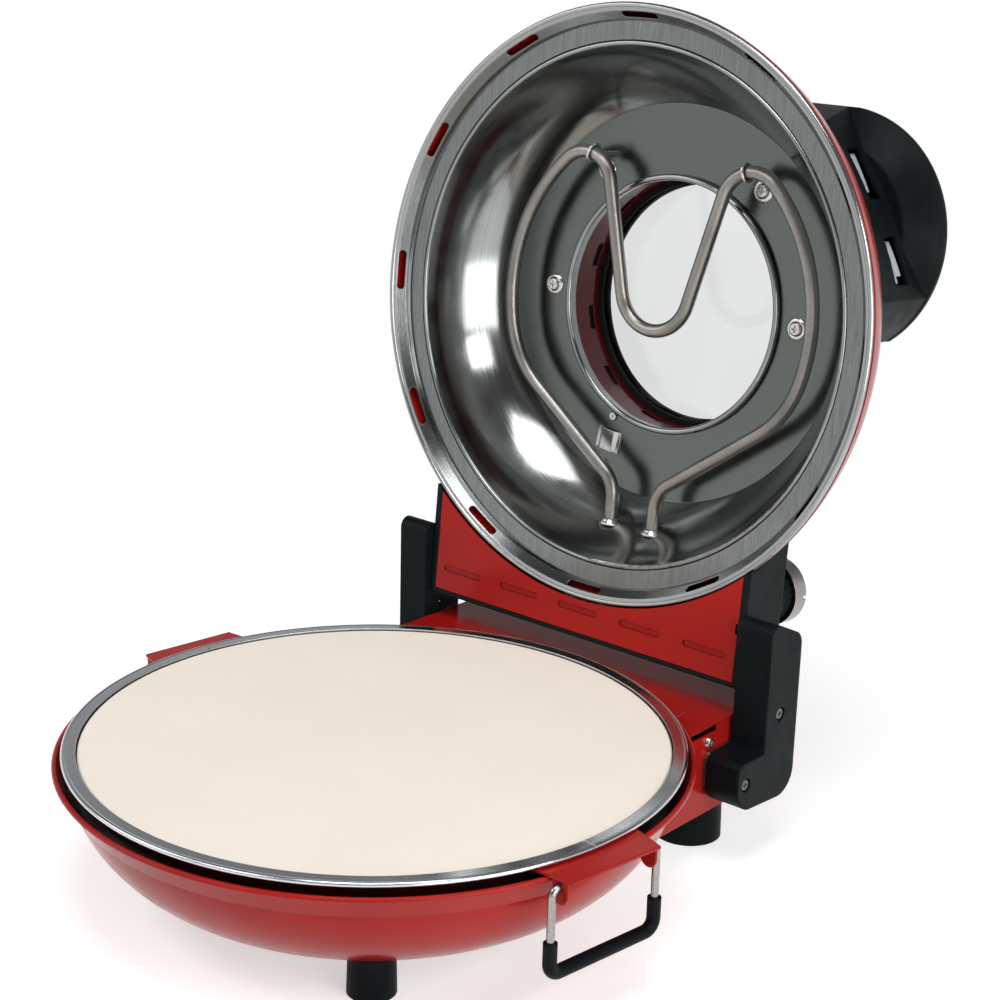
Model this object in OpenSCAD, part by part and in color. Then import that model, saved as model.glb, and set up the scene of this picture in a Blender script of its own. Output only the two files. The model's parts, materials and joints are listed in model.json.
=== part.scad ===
// Electric pizza maker with a stone plate, hinged domed lid, viewing window and side bails

/* [Stone] */
// Diameter of the stone plate
stone_d = 310; // [290:1:320]
// Thickness of the stone plate
stone_t = 12; // [8:1:16]
// Height of the stone's top face above the table
stone_top = 85; // [80:1:95]
// Turn of the stone tray in the bowl, seen from above
tray_turn = -7.3; // [-10:0.1:10]

/* [Bowl] */
// Gap from the stone's edge to the outside of the bowl's lip
lip_reach = 13; // [12.5:0.5:18]
// Drop from the stone's top to the top of the bowl's lip
lip_drop = 4.1; // [4.1:0.1:5]
// Height of the bowl's flared collar under the lip
collar_h = 12; // [8:1:14]
// Inward slope of the collar from top to bottom
collar_in = 7; // [4:0.5:9]
// Height of the bowl's floor above the table
bowl_floor = 15; // [12:1:20]
// Radius of the bowl's rounded side
bowl_round = 74.5; // [60:0.5:80]
// Sheet thickness of the red shells
sheet_t = 1.2; // [0.8:0.1:1.6]

/* [Stone ring] */
// Width of the bright ring around the stone
ring_w = 7.8; // [6:0.1:9]
// Radius of the ring's rolled outer edge
ring_bead = 1.5; // [1.2:0.1:1.6]
// Height of the ring's flat band above the stone
ring_rise = 1; // [0.6:0.1:1.4]
// Width of the two seams in the ring
seam_w = 0.6; // [0.4:0.1:1.5]

/* [Rear housing] */
// Width over the side walls of the rear housing
housing_w = 225; // [215:1:226]
// Distance from the bowl's centre to the back wall
housing_back = 197; // [195:1:215]
// Height of the housing's underside above the table
housing_floor = 28; // [20:1:35]
// Length of the free front corner flaps of the shelf
flap_l = 20; // [10:1:25]
// Gap under the shelf's front corner flaps
flap_gap = 3.5; // [2:0.5:6]

/* [Hinge] */
// Distance from the bowl's centre to the hinge axis
hinge_back = 182.7; // [178:0.1:186]
// Height of the hinge axis above the table
hinge_h = 103.5; // [100:0.1:108]
// Angle between the closed and the open lid
open_angle = 95.2; // [80:0.1:105]
// Diameter of the hinge pins
pin_d = 8; // [5:0.5:10]
// Width of each hinge cover, side to side
cover_w = 21.7; // [18:0.1:26]
// Depth of each hinge cover, front to back
cover_depth = 30.6; // [26:0.2:36]
// Length of the forward foot of each hinge cover
cover_toe = 24; // [16:1:30]
// Height of the hinge cover's top above the table
cover_top = 138; // [134:0.5:142]
// Height of the hinge cover's underside above the table
cover_low = 34; // [32:0.5:38]
// Height of the forward foot's top above the table
toe_top = 65; // [62:0.5:70]

/* [Lid] */
// Diameter of the lid over its rim
lid_d = 339; // [330:1:339]
// Gap from the stone's top to the closed lid's rim
lid_gap = 3; // [3:0.1:5]
// Height of the red dome above the rim
dome_h = 74; // [68:1:80]
// Diameter of the flat top of the dome
dome_flat_d = 184; // [170:1:190]
// Radius of the dome's rounded side
dome_round = 96.9; // [90:0.1:110]
// Drop from the dome's top to the reflector's flat plate
plate_drop = 13.2; // [10:0.2:18]
// Gap from the plate's edge out to the dome, at the plate's depth
plate_gap = 10.38; // [8:0.01:16]
// Radius of the reflector's curved side
reflector_round = 90; // [85:1:120]
// Thickness of the reflector and the rim sheet
bright_t = 0.9; // [0.6:0.1:1.2]
// Number of slots in the rim
rim_slots = 12; // [6:1:16]
// Length of a slot in the rim
rim_slot_l = 24; // [12:1:26]
// Width of a slot in the rim
rim_slot_w = 4.5; // [2:0.5:5]

/* [Hinge box of the lid] */
// Depth of the box above the rim plane
box_depth = 34; // [30:1:38]
// Distance from the lid's centre to the box's end face
box_back = 192.4; // [188:0.2:194]
// Thickness of the box's side cheeks
cheek_t = 4.4; // [3:0.1:6]
// Number of pressed slots in the red panel
panel_slots = 5; // [3:1:6]
// Length of a pressed slot
panel_slot_l = 29; // [20:1:32]
// Width of a pressed slot
panel_slot_w = 4; // [3:0.5:6]

/* [Window] */
// Diameter of the bright ring around the window hole
window_d = 148.6; // [130:0.2:156]
// Clear diameter of the glass
glass_clear_d = 140; // [120:1:144]
// Thickness of the glass
glass_t = 4; // [3:0.5:6]
// Height of the glass's lower face above the rim
glass_depth = 90; // [86:0.5:94]

/* [Heating elements] */
// Diameter of the heating tube
tube_d = 8; // [6:0.5:9]
// Radius of the upper heating loop
loop_r = 107; // [102:0.5:110]
// Depth of the upper heating loop above the rim
loop_depth = 44; // [38:0.5:48]
// Distance of each terminal from the middle
terminal_x = 15.5; // [12:0.5:20]
// Radius of the bends beside the terminals
terminal_bend = 20; // [14:1:24]
// Radius of the bends at the clips
clip_bend = 20; // [18:1:24]
// Angle of the straight runs beside the terminals
run_angle = 36; // [32:0.5:40]
// Radius of the bends from the straight runs to the loop
join_bend = 60; // [50:1:70]
// Outward lean of the two inner legs
leg_lean = 14.5; // [10:0.5:18]
// Radius of the bend under the window
mid_bend = 24; // [20:1:26]
// Radius of the lower heating loop
low_loop_r = 108; // [95:1:115]
// Height of the lower heating loop above the table
low_loop_h = 56; // [52:0.5:60]

/* [Handle] */
// Radius of the handle's rounded ends
lip_round = 72.5; // [70:0.5:74]
// Distance of the rounded ends from the middle
lip_x = 68.3; // [66:0.1:70]
// Inward lean of the handle's front face below the lip
front_lean = 12.4; // [8:0.2:16]
// Distance from the lid's centre back to the handle's rear end
handle_back = 6.5; // [2:0.5:8]
// Distance from the lid's centre to the handle's straight front
handle_front = 122.5; // [118:0.5:126]
// Height of the crease above the rim
crease_depth = 104; // [102:0.5:106]
// Height of the lip's lower edge above the rim
lip_depth = 118; // [112:0.5:124]
// Thickness of the handle's lip and walls
handle_t = 3; // [2:0.1:4]
// Width of the finger recess
grip_w = 96; // [70:1:104]
// Outer diameter of the black ring around the glass
bezel_d = 196; // [188:1:200]
// Height of the vent slots in the handle's skirt
vent_h = 14; // [8:1:16]

/* [Bails] */
// Distance from the bowl's centre to the bail's axis
bail_reach = 171; // [170.5:0.1:173]
// Drop from the stone's top to the bail's axis
bail_drop = 7; // [6.5:0.1:9]
// Distance between the bail's legs
bail_w = 69; // [69:1:80]
// Length of the bail from its axis to its bar
bail_l = 44; // [36:1:60]
// Diameter of the bail's wire
wire_d = 4; // [3:0.5:4.5]
// Diameter of the bail's black sleeve
sleeve_d = 7; // [6:0.5:9]

/* [Knob] */
// Diameter of the thermostat knob
knob_d = 39; // [30:1:40]
// Height of the thermostat knob
knob_h = 17; // [12:1:22]
// Distance of the knob from the side of the rear housing
knob_in = 18.5; // [18.5:0.5:26]
// Distance of the knob from the lid's centre towards the hinge
knob_back = 150; // [150:0.5:160]

/* [Feet] */
// Diameter of a front foot at the table
front_foot_d = 25; // [18:1:30]
// Distance of the front feet from the bowl's centre
front_foot_r = 110; // [90:1:112]
// Angle of the front feet from the middle line
front_foot_angle = 43; // [35:1:55]
// Diameter of a rear foot
rear_foot_d = 38.6; // [30:0.2:42]
// Distance of each rear foot from the middle
rear_foot_x = 86.6; // [70:0.2:90]
// Distance of the rear feet behind the bowl's centre
rear_foot_y = 165.6; // [160:0.2:172]

/* [Clearances] */
// Gap between parts that move past one another
move_gap = 0.3; // [0.3:0.05:0.5]
// Gap between fixed parts that lie side by side
rest_gap = 0.1; // [0.05:0.05:0.2]
// Radial gap of a pin in its bore
pin_gap = 0.08; // [0.04:0.01:0.1]

/* [Hidden] */

// Roundness of turned shapes
$fn = 96;

// Overshoot of a cut past the face that it opens
cut = 1;

// Places worked out from the sizes above
stone_r = stone_d / 2;
lip_outer_r = stone_r + lip_reach;
lip_top = stone_top - lip_drop;
lip_bead = 1.5;
collar_top_r = lip_outer_r - lip_bead;
collar_top = lip_top - lip_bead;
step_r = collar_top_r - collar_in;
step_h = collar_top - collar_h;
step_w = 0.5;
bowl_centre_z = bowl_floor + bowl_round;
bowl_centre_r = step_r - sqrt(pow(bowl_round, 2) - pow(bowl_centre_z - step_h, 2));

// Stone, tray and ring
tray_t = 0.9;
tray_side_gap = 0.6;
tray_flange = 10;
stone_chamfer = 0.8;
stone_low = stone_top - stone_t;
tray_low = stone_low - tray_t;
tray_in_r = stone_r + tray_side_gap;
tray_out_r = tray_in_r + tray_t;
ring_out_r = tray_in_r + ring_w;
ring_top = stone_top + ring_rise;
ring_t = 0.9;

// Liner in the bowl
liner_t = 0.8;
liner_floor_z = 34;
liner_floor_r = 120;
liner_top = tray_low - rest_gap;
liner_low = liner_top - liner_t;
liner_side_r = tray_in_r - tray_flange;

function collar_inner_r(z) = step_r + step_w - sheet_t + (z - step_h) * (collar_in - step_w) / collar_h;

liner_out_r = collar_inner_r(liner_low) - rest_gap;

// Screws of the feet
foot_shank_r = 1.9;
foot_bore_r = 2.1;
foot_hole_r = 2.2;
foot_head_r = 3.5;
foot_head_h = 2.2;
front_shank_l = 5;
rear_shank_l = 8;
foot_taper = 0.7;
front_foot_x = front_foot_r * sin(front_foot_angle);
front_foot_y = -front_foot_r * cos(front_foot_angle);
front_seat = pow(bowl_round - sheet_t, 2) - pow(front_foot_r + foot_head_r - bowl_centre_r, 2);
front_screw_z = bowl_centre_z - sqrt(front_seat) + foot_head_h + foot_taper;

// Openings for the element's ends
lead_window_w = 2 * terminal_x + 2 * tube_d;
lead_window_h = 2 * tube_d;

// Bottom cover of the bowl
floor_hole_r = 70;
floor_cover_r = 78;
cover_vents = 16;
cover_vent_l = 26;
cover_vent_w = 4;
cover_vent_r = 46;

// Rear housing
housing_half = housing_w / 2;
shelf_z = lip_top - 0.9;
shelf_lap = 0.2;
shelf_low = shelf_z - sheet_t;
flap_edge_w = 21.5;
flap_slit = 0.8;
flap_back = 131 + flap_l;

// Screws through the housing's side walls
wall_screw_y = 143.4;
wall_screw_z = shelf_low - 8.4;
wall_hole_r = 1.8;
wall_head_r = 3.2;
wall_head_h = 2;
wall_head_out = 3.2;
wall_shank_l = 8;
thin_shank_r = 1.5;

// Cord inlet in the back wall
gland_x = 60;
gland_z = 50;
gland_r = 7.9;
gland_hole_r = 8;
gland_flange_r = 11;
gland_flange_t = 3;
gland_l = 9;
gland_bore_r = 4.5;

// Terminal block in the housing
block_w = 48;
block_t = 12;
block_h = 24;
block_y = 175;
block_bores = 4;
block_bore_r = 2.2;
block_bore_up = 18;
block_step = block_w / block_bores;
block_bore_x = 3 * block_step / 2;
block_bore_z = housing_floor + sheet_t + block_bore_up;

// Leads from the heating elements
lead_r = 1.3;
lead_ball_r = 1.6;
lead_gap = 0.5;
lead_start = 3;
low_end_gap = 18.3;
low_end_y = hinge_back - low_end_gap;

// Hinge covers
cover_gap = 2.8;
knob_x = housing_half - knob_in;
cover_in = housing_half + cover_gap;
cover_front = hinge_back + 9.8 - cover_depth;
cover_rear = hinge_back + 9.8;
cover_t = 2;
cover_skin = 1.5;
cover_front_r = 6;
cover_rear_r = 9.5;
cover_heel_r = 14;
cover_sole_r = 13.5;
cover_tip_r = 4.8;
cover_slope = 11;
cover_window_low = 8;
column_r = 5;
column_bore_r = 2;
column_sink = 2.5;
column_sink_r = 4;
cover_head_r = 3.6;
cover_head_h = 1.9;
cover_head_in = 0.6;
high_shank_l = 16;
low_shank_l = 20;

// Lid
mate_z = stone_top + lid_gap;
lid_r = lid_d / 2;
rim_bead = 1.5;
dome_low = 2 * rim_bead + rest_gap;
hinge_d = hinge_h - mate_z;

// Centre of an arc of radius r through the points a and b, on the side towards the axis
function arc_centre(a, b, r) =
    let(m = (a + b) / 2, h = norm(a - b) / 2, t = (a - b) / norm(a - b))
    m + sqrt(r * r - h * h) * [t[1], -t[0]];

dome_arc = arc_centre([lid_r, dome_low], [dome_flat_d / 2, dome_h], dome_round);
plate_depth = dome_h - plate_drop;
plate_r = dome_arc[0] + sqrt(pow(dome_round, 2) - pow(plate_depth - dome_arc[1], 2)) - plate_gap;
reflector_low = 4.2;
reflector_low_r = 147.4;
reflector_arc = arc_centre([reflector_low_r, reflector_low], [plate_r, plate_depth], reflector_round);

// Rim from its rolled edge inwards: a slotted wall and a level band
rim_fold_out = lid_r - 2;
rim_wall_out = lid_r - 4.6;
rim_wall_in = lid_r - 8.9;
rim_band_out = lid_r - 9.8;
lip_bead_r = 1.3;
rim_band_in = reflector_low_r + 2 * lip_bead_r - 0.5;
rim_edge_z = 0.9;
rim_wall_z = 1.3;
rim_step_z = 6;
rim_band_z = 8.9;
rim_slot_place = [(rim_wall_out + rim_wall_in) / 2, 0, (rim_wall_z + rim_step_z) / 2];
rim_slot_tilt = atan2(rim_step_z - rim_wall_z, rim_wall_out - rim_wall_in);

// Window
window_r = window_d / 2;
neck_in_r = window_r + rest_gap;
ring_roll = 1.9;
neck_out_r = neck_in_r + sheet_t;
glass_r = neck_out_r + rest_gap;
gasket_t = 1.8;
neck_flange = 5;
neck_vents = 12;
neck_vent_l = 14;
neck_vent_h = 5;
neck_vent_drop = 7;
neck_low = plate_depth + bright_t + rest_gap;
neck_top = glass_depth - gasket_t - 2 * rest_gap;
bezel_low = glass_depth + glass_t + rest_gap;
bezel_r = bezel_d / 2;

// Handle
lip_top_d = lip_depth + handle_t;
skirt_round = 277;
skirt_centre = [-125.3, -74.3];
lip_u = handle_front - lip_round + 3 * rest_gap;
flare_w = 18.6;
flare_step = 0.4;
block_half = lip_x - 2;
grip_back = 98;
grip_low = 79;
handle_column_r = 4;

// Vents in the handle's skirt: place, turn and length of each
vent_front = [96.5, -86.5, 57.8, 32];
vent_rear = [124, -42, 59.7, 28];
handle_vents = [vent_front, vent_rear];

// Shift that puts the origin under the middle of the open cooker
rear_reach = hinge_back - (handle_front + hinge_back) * cos(open_angle)
    + (lip_top_d - hinge_d) * sin(open_angle);
model_shift = (lip_outer_r - rear_reach) / 2;

// Bails
bail_z = stone_top - bail_drop;
wire_r = wire_d / 2;
bail_leg_y = bail_w / 2;
bail_top_bend = 4;
bail_low_bend = 6;
bail_stub = 27;
grip_start = 27;
bracket_t = 1.5;
bracket_low = lip_top + 0.4;
bracket_half_in = 36;
bracket_half_mid = 31.5;
bracket_half_out = 29;
bracket_mid_x = 166;
bracket_out_x = 178.5;
ear_y = 29;
ear_t = 1.2;
ear_r = 5;
ear_drop = 4;

// Knob and thermostat
boss_r = 16.6;
boss_top = 46;
shaft_r = 3;
knob_low = boss_top + move_gap;
knob_skirt_h = 5;
knob_core_r = knob_d / 2 - 2.5;
knob_mark_w = 2;

// Surface colours
bowl_red = [0.55, 0.16, 0.14];
dark_red = [0.45, 0.08, 0.07];
black = [0.07, 0.09, 0.10];
bright = [0.75, 0.76, 0.77];
steel = [0.50, 0.52, 0.52];
stone_white = [0.90, 0.86, 0.80];
glass_clear = [0.80, 0.86, 0.86, 0.4];
copper = [0.65, 0.40, 0.25];
ceramic = [0.85, 0.84, 0.80];

// Moves a fixed part into its place
module place_base() {
    translate([0, model_shift, 0])
    children();
}

// Moves a part of the turned stone tray into its place
module place_tray() {
    place_base()
    rotate([0, 0, tray_turn])
    children();
}

// Moves a part of the closed lid into its open place
module place_lid() {
    place_base()
    translate([0, hinge_back, hinge_h])
    rotate([-open_angle, 0, 0])
    translate([0, -hinge_back, -hinge_h])
    translate([0, 0, mate_z])
    children();
}

// Round bar between two points
module strut(a, b, r) {
    v = b - a;
    translate(a)
    rotate([0, acos(v[2] / norm(v)), atan2(v[1], v[0])])
    cylinder(h = norm(v), r = r);
}

// Bent round bar in a level plane, about the centre c
module bend(c, radius, from, to, r) {
    translate(c)
    rotate([0, 0, from])
    rotate_extrude(angle = to - from)
    translate([radius, 0])
    circle(r);
}

// Pan head screw with a cross recess, head downwards, shank upwards
module screw(head_r, head_h, shank_r, shank_l) {
    difference() {
        cylinder(h = head_h, r1 = head_r - head_h / 3, r2 = head_r);
        for (turn = [0, 90])
            rotate([0, 0, turn])
            translate([-head_r / 2, -head_r / 8, -cut])
            cube([head_r, head_r / 4, cut + head_h / 2]);
    }
    translate([0, 0, head_h])
    cylinder(h = shank_l, r = shank_r);
}

// Slot with round ends, cut along X
module slot(length, width, height) {
    cube([length - width, width, height], center = true);
    for (side = [-1, 1])
        translate([side * (length - width) / 2, 0, 0])
        cylinder(h = height, r = width / 2, center = true);
}

// Filled half section of the bowl, grown outwards
module bowl_section(grow) {
    translate([0, bowl_floor - grow])
    square([bowl_centre_r, step_h - bowl_floor + grow]);
    intersection() {
        translate([bowl_centre_r, bowl_centre_z])
        circle(bowl_round + grow);
        translate([bowl_centre_r, bowl_floor - grow])
        square([bowl_round + grow, step_h - bowl_floor + grow]);
    }
    polygon([
        [0, step_h],
        [step_r + step_w + grow, step_h],
        [collar_top_r + grow, collar_top],
        [0, collar_top]
    ]);
}

// Solid as large as the bowl, for cutting the parts around it
module bowl_solid(grow) {
    rotate_extrude()
    bowl_section(grow);
    translate([0, 0, collar_top - lip_bead])
    cylinder(h = 2 * lip_bead + grow, r = lip_outer_r + grow);
}

module base_bowl() {
    color(bowl_red)
    place_base()
    difference() {
        rotate_extrude() {
            difference() {
                bowl_section(0);
                bowl_section(-sheet_t);
            }
            translate([collar_top_r, collar_top])
            circle(lip_bead);
        }
        translate([0, 0, bowl_floor - cut])
        cylinder(h = sheet_t + 2 * cut, r = floor_hole_r);
        translate([-lead_window_w / 2, 0, low_loop_h - lead_window_h / 2])
        cube([lead_window_w, lip_outer_r, lead_window_h]);
        foot_holes(foot_hole_r);
    }
}

// Bores for the screws of the front feet
module foot_holes(radius) {
    for (side = [-1, 1])
        translate([side * front_foot_x, front_foot_y, bowl_floor - 2 * cut])
        cylinder(h = housing_floor, r = radius);
}

module bottom_cover() {
    color(steel)
    place_base()
    difference() {
        translate([0, 0, bowl_floor - rest_gap - sheet_t])
        cylinder(h = sheet_t, r = floor_cover_r);
        for (k = [0 : cover_vents - 1])
            rotate([0, 0, k * 360 / cover_vents])
            translate([cover_vent_r, 0, bowl_floor])
            slot(cover_vent_l, cover_vent_w, 4 * cut);
    }
}

module bowl_liner() {
    color(bright)
    place_base()
    difference() {
        rotate_extrude()
        polygon([
            [0, liner_floor_z],
            [liner_floor_r, liner_floor_z],
            [liner_side_r, liner_low],
            [liner_out_r, liner_low],
            [liner_out_r, liner_top],
            [liner_side_r - liner_t, liner_top],
            [liner_floor_r - liner_t, liner_floor_z + liner_t],
            [0, liner_floor_z + liner_t]
        ]);
        translate([-lead_window_w / 2, 0, low_loop_h - tube_d])
        cube([lead_window_w, lip_outer_r, 2 * tube_d]);
    }
}

module stone_tray() {
    color(steel)
    place_tray()
    rotate_extrude()
    polygon([
        [tray_in_r - tray_flange, tray_low],
        [tray_out_r, tray_low],
        [tray_out_r, ring_top - ring_t],
        [tray_in_r, ring_top - ring_t],
        [tray_in_r, stone_low],
        [tray_in_r - tray_flange, stone_low]
    ]);
}

// One half of the bright ring around the stone
module ring_half(from) {
    color(bright)
    place_tray()
    difference() {
        rotate([0, 0, from])
        rotate_extrude(angle = 180)
        union() {
            translate([tray_in_r, ring_top - ring_t])
            square([ring_w - ring_bead, ring_t]);
            translate([ring_out_r - ring_bead, ring_top + 0.2 - ring_bead])
            circle(ring_bead);
        }
        translate([-ring_out_r - cut, -seam_w / 2, stone_low])
        cube([2 * (ring_out_r + cut), seam_w, stone_t + 4 * ring_t]);
    }
}

module stone_ring_front() {
    ring_half(180);
}

module stone_ring_rear() {
    ring_half(0);
}

module pizza_stone() {
    color(stone_white)
    place_tray()
    rotate_extrude()
    polygon([
        [0, stone_low],
        [stone_r - stone_chamfer, stone_low],
        [stone_r, stone_low + stone_chamfer],
        [stone_r, stone_top - stone_chamfer],
        [stone_r - stone_chamfer, stone_top],
        [0, stone_top]
    ]);
}

// Bracket that carries a bail and laps over the bowl's lip
module bail_bracket(side) {
    color(bowl_red)
    place_tray()
    rotate([0, 0, side > 0 ? 0 : 180])
    difference() {
        union() {
            translate([0, 0, bracket_low])
            linear_extrude(bracket_t)
            polygon([
                [stone_r - bracket_half_in / 4, -bracket_half_in],
                [bracket_mid_x, -bracket_half_mid],
                [bracket_out_x, -bracket_half_out],
                [bracket_out_x, bracket_half_out],
                [bracket_mid_x, bracket_half_mid],
                [stone_r - bracket_half_in / 4, bracket_half_in]
            ]);
            for (ear = [-1, 1])
                translate([bail_reach, ear * ear_y, bail_z - ear_drop])
                rotate([90, 0, 0])
                union() {
                    cylinder(h = ear_t, r = ear_r, center = true);
                    translate([-ear_r, 0, -ear_t / 2])
                    cube([2 * ear_r, bracket_low - bail_z + ear_drop + bracket_t / 2, ear_t]);
                }
        }
        translate([0, 0, stone_low])
        cylinder(h = stone_t + ring_w, r = tray_out_r + rest_gap);
        translate([bail_reach, 0, bail_z])
        rotate([90, 0, 0])
        cylinder(h = bail_w, r = wire_r + pin_gap, center = true);
    }
}

module bail_bracket_left() {
    bail_bracket(-1);
}

module bail_bracket_right() {
    bail_bracket(1);
}

// Quarter bend of a bail, in the plane of its legs
module bail_bend(y, z, radius, from, r) {
    translate([0, y, z])
    rotate([90, 0, 90])
    bend([0, 0, 0], radius, from, from + 90, r);
}

// Course of a bail's wire, hanging from its axis
module bail_course(r) {
    for (side = [0, 1])
        mirror([0, side, 0]) {
            strut([0, bail_stub, 0], [0, bail_leg_y - bail_top_bend, 0], r);
            bail_bend(bail_leg_y - bail_top_bend, -bail_top_bend, bail_top_bend, 0, r);
            strut([0, bail_leg_y, -bail_l + bail_low_bend], [0, bail_leg_y, -bail_top_bend], r);
            bail_bend(bail_leg_y - bail_low_bend, -bail_l + bail_low_bend, bail_low_bend, 270, r);
        }
    strut([0, -bail_leg_y + bail_low_bend, -bail_l], [0, bail_leg_y - bail_low_bend, -bail_l], r);
}

// Moves a bail onto its bracket
module place_bail(side) {
    place_tray()
    rotate([0, 0, side > 0 ? 0 : 180])
    translate([bail_reach, 0, bail_z])
    children();
}

module bail_wire(side) {
    color(bright)
    place_bail(side)
    bail_course(wire_r);
}

module bail_grip(side) {
    color(black)
    place_bail(side)
    difference() {
        intersection() {
            bail_course(sleeve_d / 2);
            translate([-bail_w, -bail_w, -grip_start - 2 * bail_l])
            cube([2 * bail_w, 2 * bail_w, 2 * bail_l]);
        }
        bail_course(wire_r + rest_gap / 2);
    }
}

module bail_wire_left() {
    bail_wire(-1);
}

module bail_wire_right() {
    bail_wire(1);
}

module bail_grip_left() {
    bail_grip(-1);
}

module bail_grip_right() {
    bail_grip(1);
}

// End of a lower element's leg where it leaves the loop
low_turn_y = sqrt(pow(low_loop_r + terminal_bend, 2) - pow(terminal_x + terminal_bend, 2));
low_turn_a = atan2(low_turn_y, terminal_x + terminal_bend);

// Clips under the lower element
low_clips = 3;
low_clip_angle = 30;
low_clip_t = 1.5;
low_clip_w = 8;

// Lap and step of the joints between the runs of a heating tube
joint_lap = 0.3;
joint_step = 0.02;

// Straight run of a heating tube, lapped into its bends
module run(a, b) {
    way = joint_lap * (b - a) / norm(b - a);
    strut(a - way, b + way, tube_d / 2 - joint_step);
}

// Long loop of a heating tube, lapped into its bends
module loop(radius, from, to) {
    lap = joint_lap / radius * 180 / PI;
    bend([0, 0, 0], radius, from - lap, to + lap, tube_d / 2 - joint_step);
}

module lower_element() {
    color(steel)
    place_base()
    translate([0, 0, low_loop_h]) {
        loop(low_loop_r, 180 - low_turn_a, 360 + low_turn_a);
        for (side = [0, 1])
            mirror([side, 0, 0]) {
                translate([terminal_x + terminal_bend, low_turn_y, 0])
                bend([0, 0, 0], terminal_bend, 180, 180 + low_turn_a, tube_d / 2);
                run([terminal_x, low_turn_y, 0], [terminal_x, low_end_y, 0]);
            }
    }
}

module lower_element_clips() {
    inner_w = tube_d;
    outer_w = tube_d + 2 * low_clip_t;
    foot_z = liner_floor_z + liner_t;
    color(steel)
    place_base()
    for (k = [0 : low_clips - 1])
        rotate([0, 0, low_clip_angle + k * 360 / low_clips])
        translate([low_loop_r, 0, 0])
        difference() {
            translate([-outer_w / 2, -low_clip_w / 2, foot_z])
            cube([outer_w, low_clip_w, low_loop_h - foot_z]);
            translate([-inner_w / 2, -low_clip_w, foot_z + low_clip_t])
            cube([inner_w, 2 * low_clip_w, low_loop_h - foot_z - tube_d / 2 - 2 * low_clip_t]);
            translate([-low_loop_r, 0, low_loop_h])
            bend([0, 0, 0], low_loop_r, -6, 6, tube_d / 2 + rest_gap / 2);
        }
}

module rear_housing() {
    color(bowl_red)
    place_base()
    difference() {
        union() {
            for (side = [0, 1])
                mirror([side, 0, 0])
                difference() {
                    translate([housing_half - sheet_t, 0, housing_floor])
                    cube([sheet_t, housing_back, shelf_low - housing_floor]);
                    translate([housing_half - 2 * sheet_t, 0, shelf_low - flap_gap])
                    cube([3 * sheet_t, flap_back, housing_back]);
                    translate([housing_half, wall_screw_y, wall_screw_z])
                    rotate([0, 90, 0])
                    cylinder(h = 4 * sheet_t, r = wall_hole_r, center = true);
                }
            difference() {
                translate([-housing_half, housing_back - sheet_t, housing_floor])
                cube([housing_w, sheet_t, shelf_low - housing_floor]);
                translate([gland_x, housing_back, gland_z])
                rotate([90, 0, 0])
                cylinder(h = 4 * sheet_t, r = gland_hole_r, center = true);
            }
        }
        bowl_solid(rest_gap);
    }
}

module rear_shelf() {
    color(bowl_red)
    place_base()
    difference() {
        translate([-housing_half, 0, shelf_low])
        cube([housing_w, housing_back, sheet_t]);
        bowl_solid(shelf_lap);
        translate([0, 0, shelf_low - cut])
        cylinder(h = 4 * cut, r = lip_outer_r + shelf_lap);
        for (side = [-1, 1])
            translate([side * (housing_half - flap_edge_w) - flap_slit / 2, 0, shelf_low - cut])
            cube([flap_slit, flap_back, 4 * cut]);
    }
}

module housing_floor_plate() {
    color(steel)
    place_base()
    difference() {
        translate([-housing_half + sheet_t + rest_gap, 0, housing_floor])
        cube([housing_w - 2 * (sheet_t + rest_gap), housing_back - sheet_t - rest_gap, sheet_t]);
        bowl_solid(rest_gap);
        for (side = [-1, 1])
            translate([side * rear_foot_x, rear_foot_y, housing_floor - cut])
            cylinder(h = 4 * cut, r = foot_hole_r);
    }
}

module front_feet() {
    color(black)
    place_base()
    difference() {
        for (side = [-1, 1])
            translate([side * front_foot_x, front_foot_y, 0])
            cylinder(h = housing_floor, r1 = front_foot_d / 2, r2 = front_foot_d / 2 - foot_taper);
        bowl_solid(rest_gap);
        foot_holes(foot_bore_r);
    }
}

module rear_feet() {
    color(black)
    place_base()
    for (side = [-1, 1])
        translate([side * rear_foot_x, rear_foot_y, 0])
        difference() {
            cylinder(h = housing_floor - rest_gap, r1 = rear_foot_d / 2, r2 = rear_foot_d / 2 - foot_taper);
            translate([0, 0, housing_floor / 2])
            cylinder(h = housing_floor, r = foot_bore_r);
        }
}

module foot_screws() {
    color(bright)
    place_base()
    for (side = [-1, 1]) {
        translate([side * front_foot_x, front_foot_y, front_screw_z])
        mirror([0, 0, 1])
        screw(foot_head_r, foot_head_h, foot_shank_r, front_shank_l);
        translate([side * rear_foot_x, rear_foot_y, housing_floor + sheet_t + foot_head_h])
        mirror([0, 0, 1])
        screw(foot_head_r, foot_head_h, foot_shank_r, rear_shank_l);
    }
}

// Points where a line touches two circles on its left side
function touch_angle(a, ra, b, rb) = atan2(b[1] - a[1], b[0] - a[0]) + acos((ra - rb) / norm(b - a));

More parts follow.
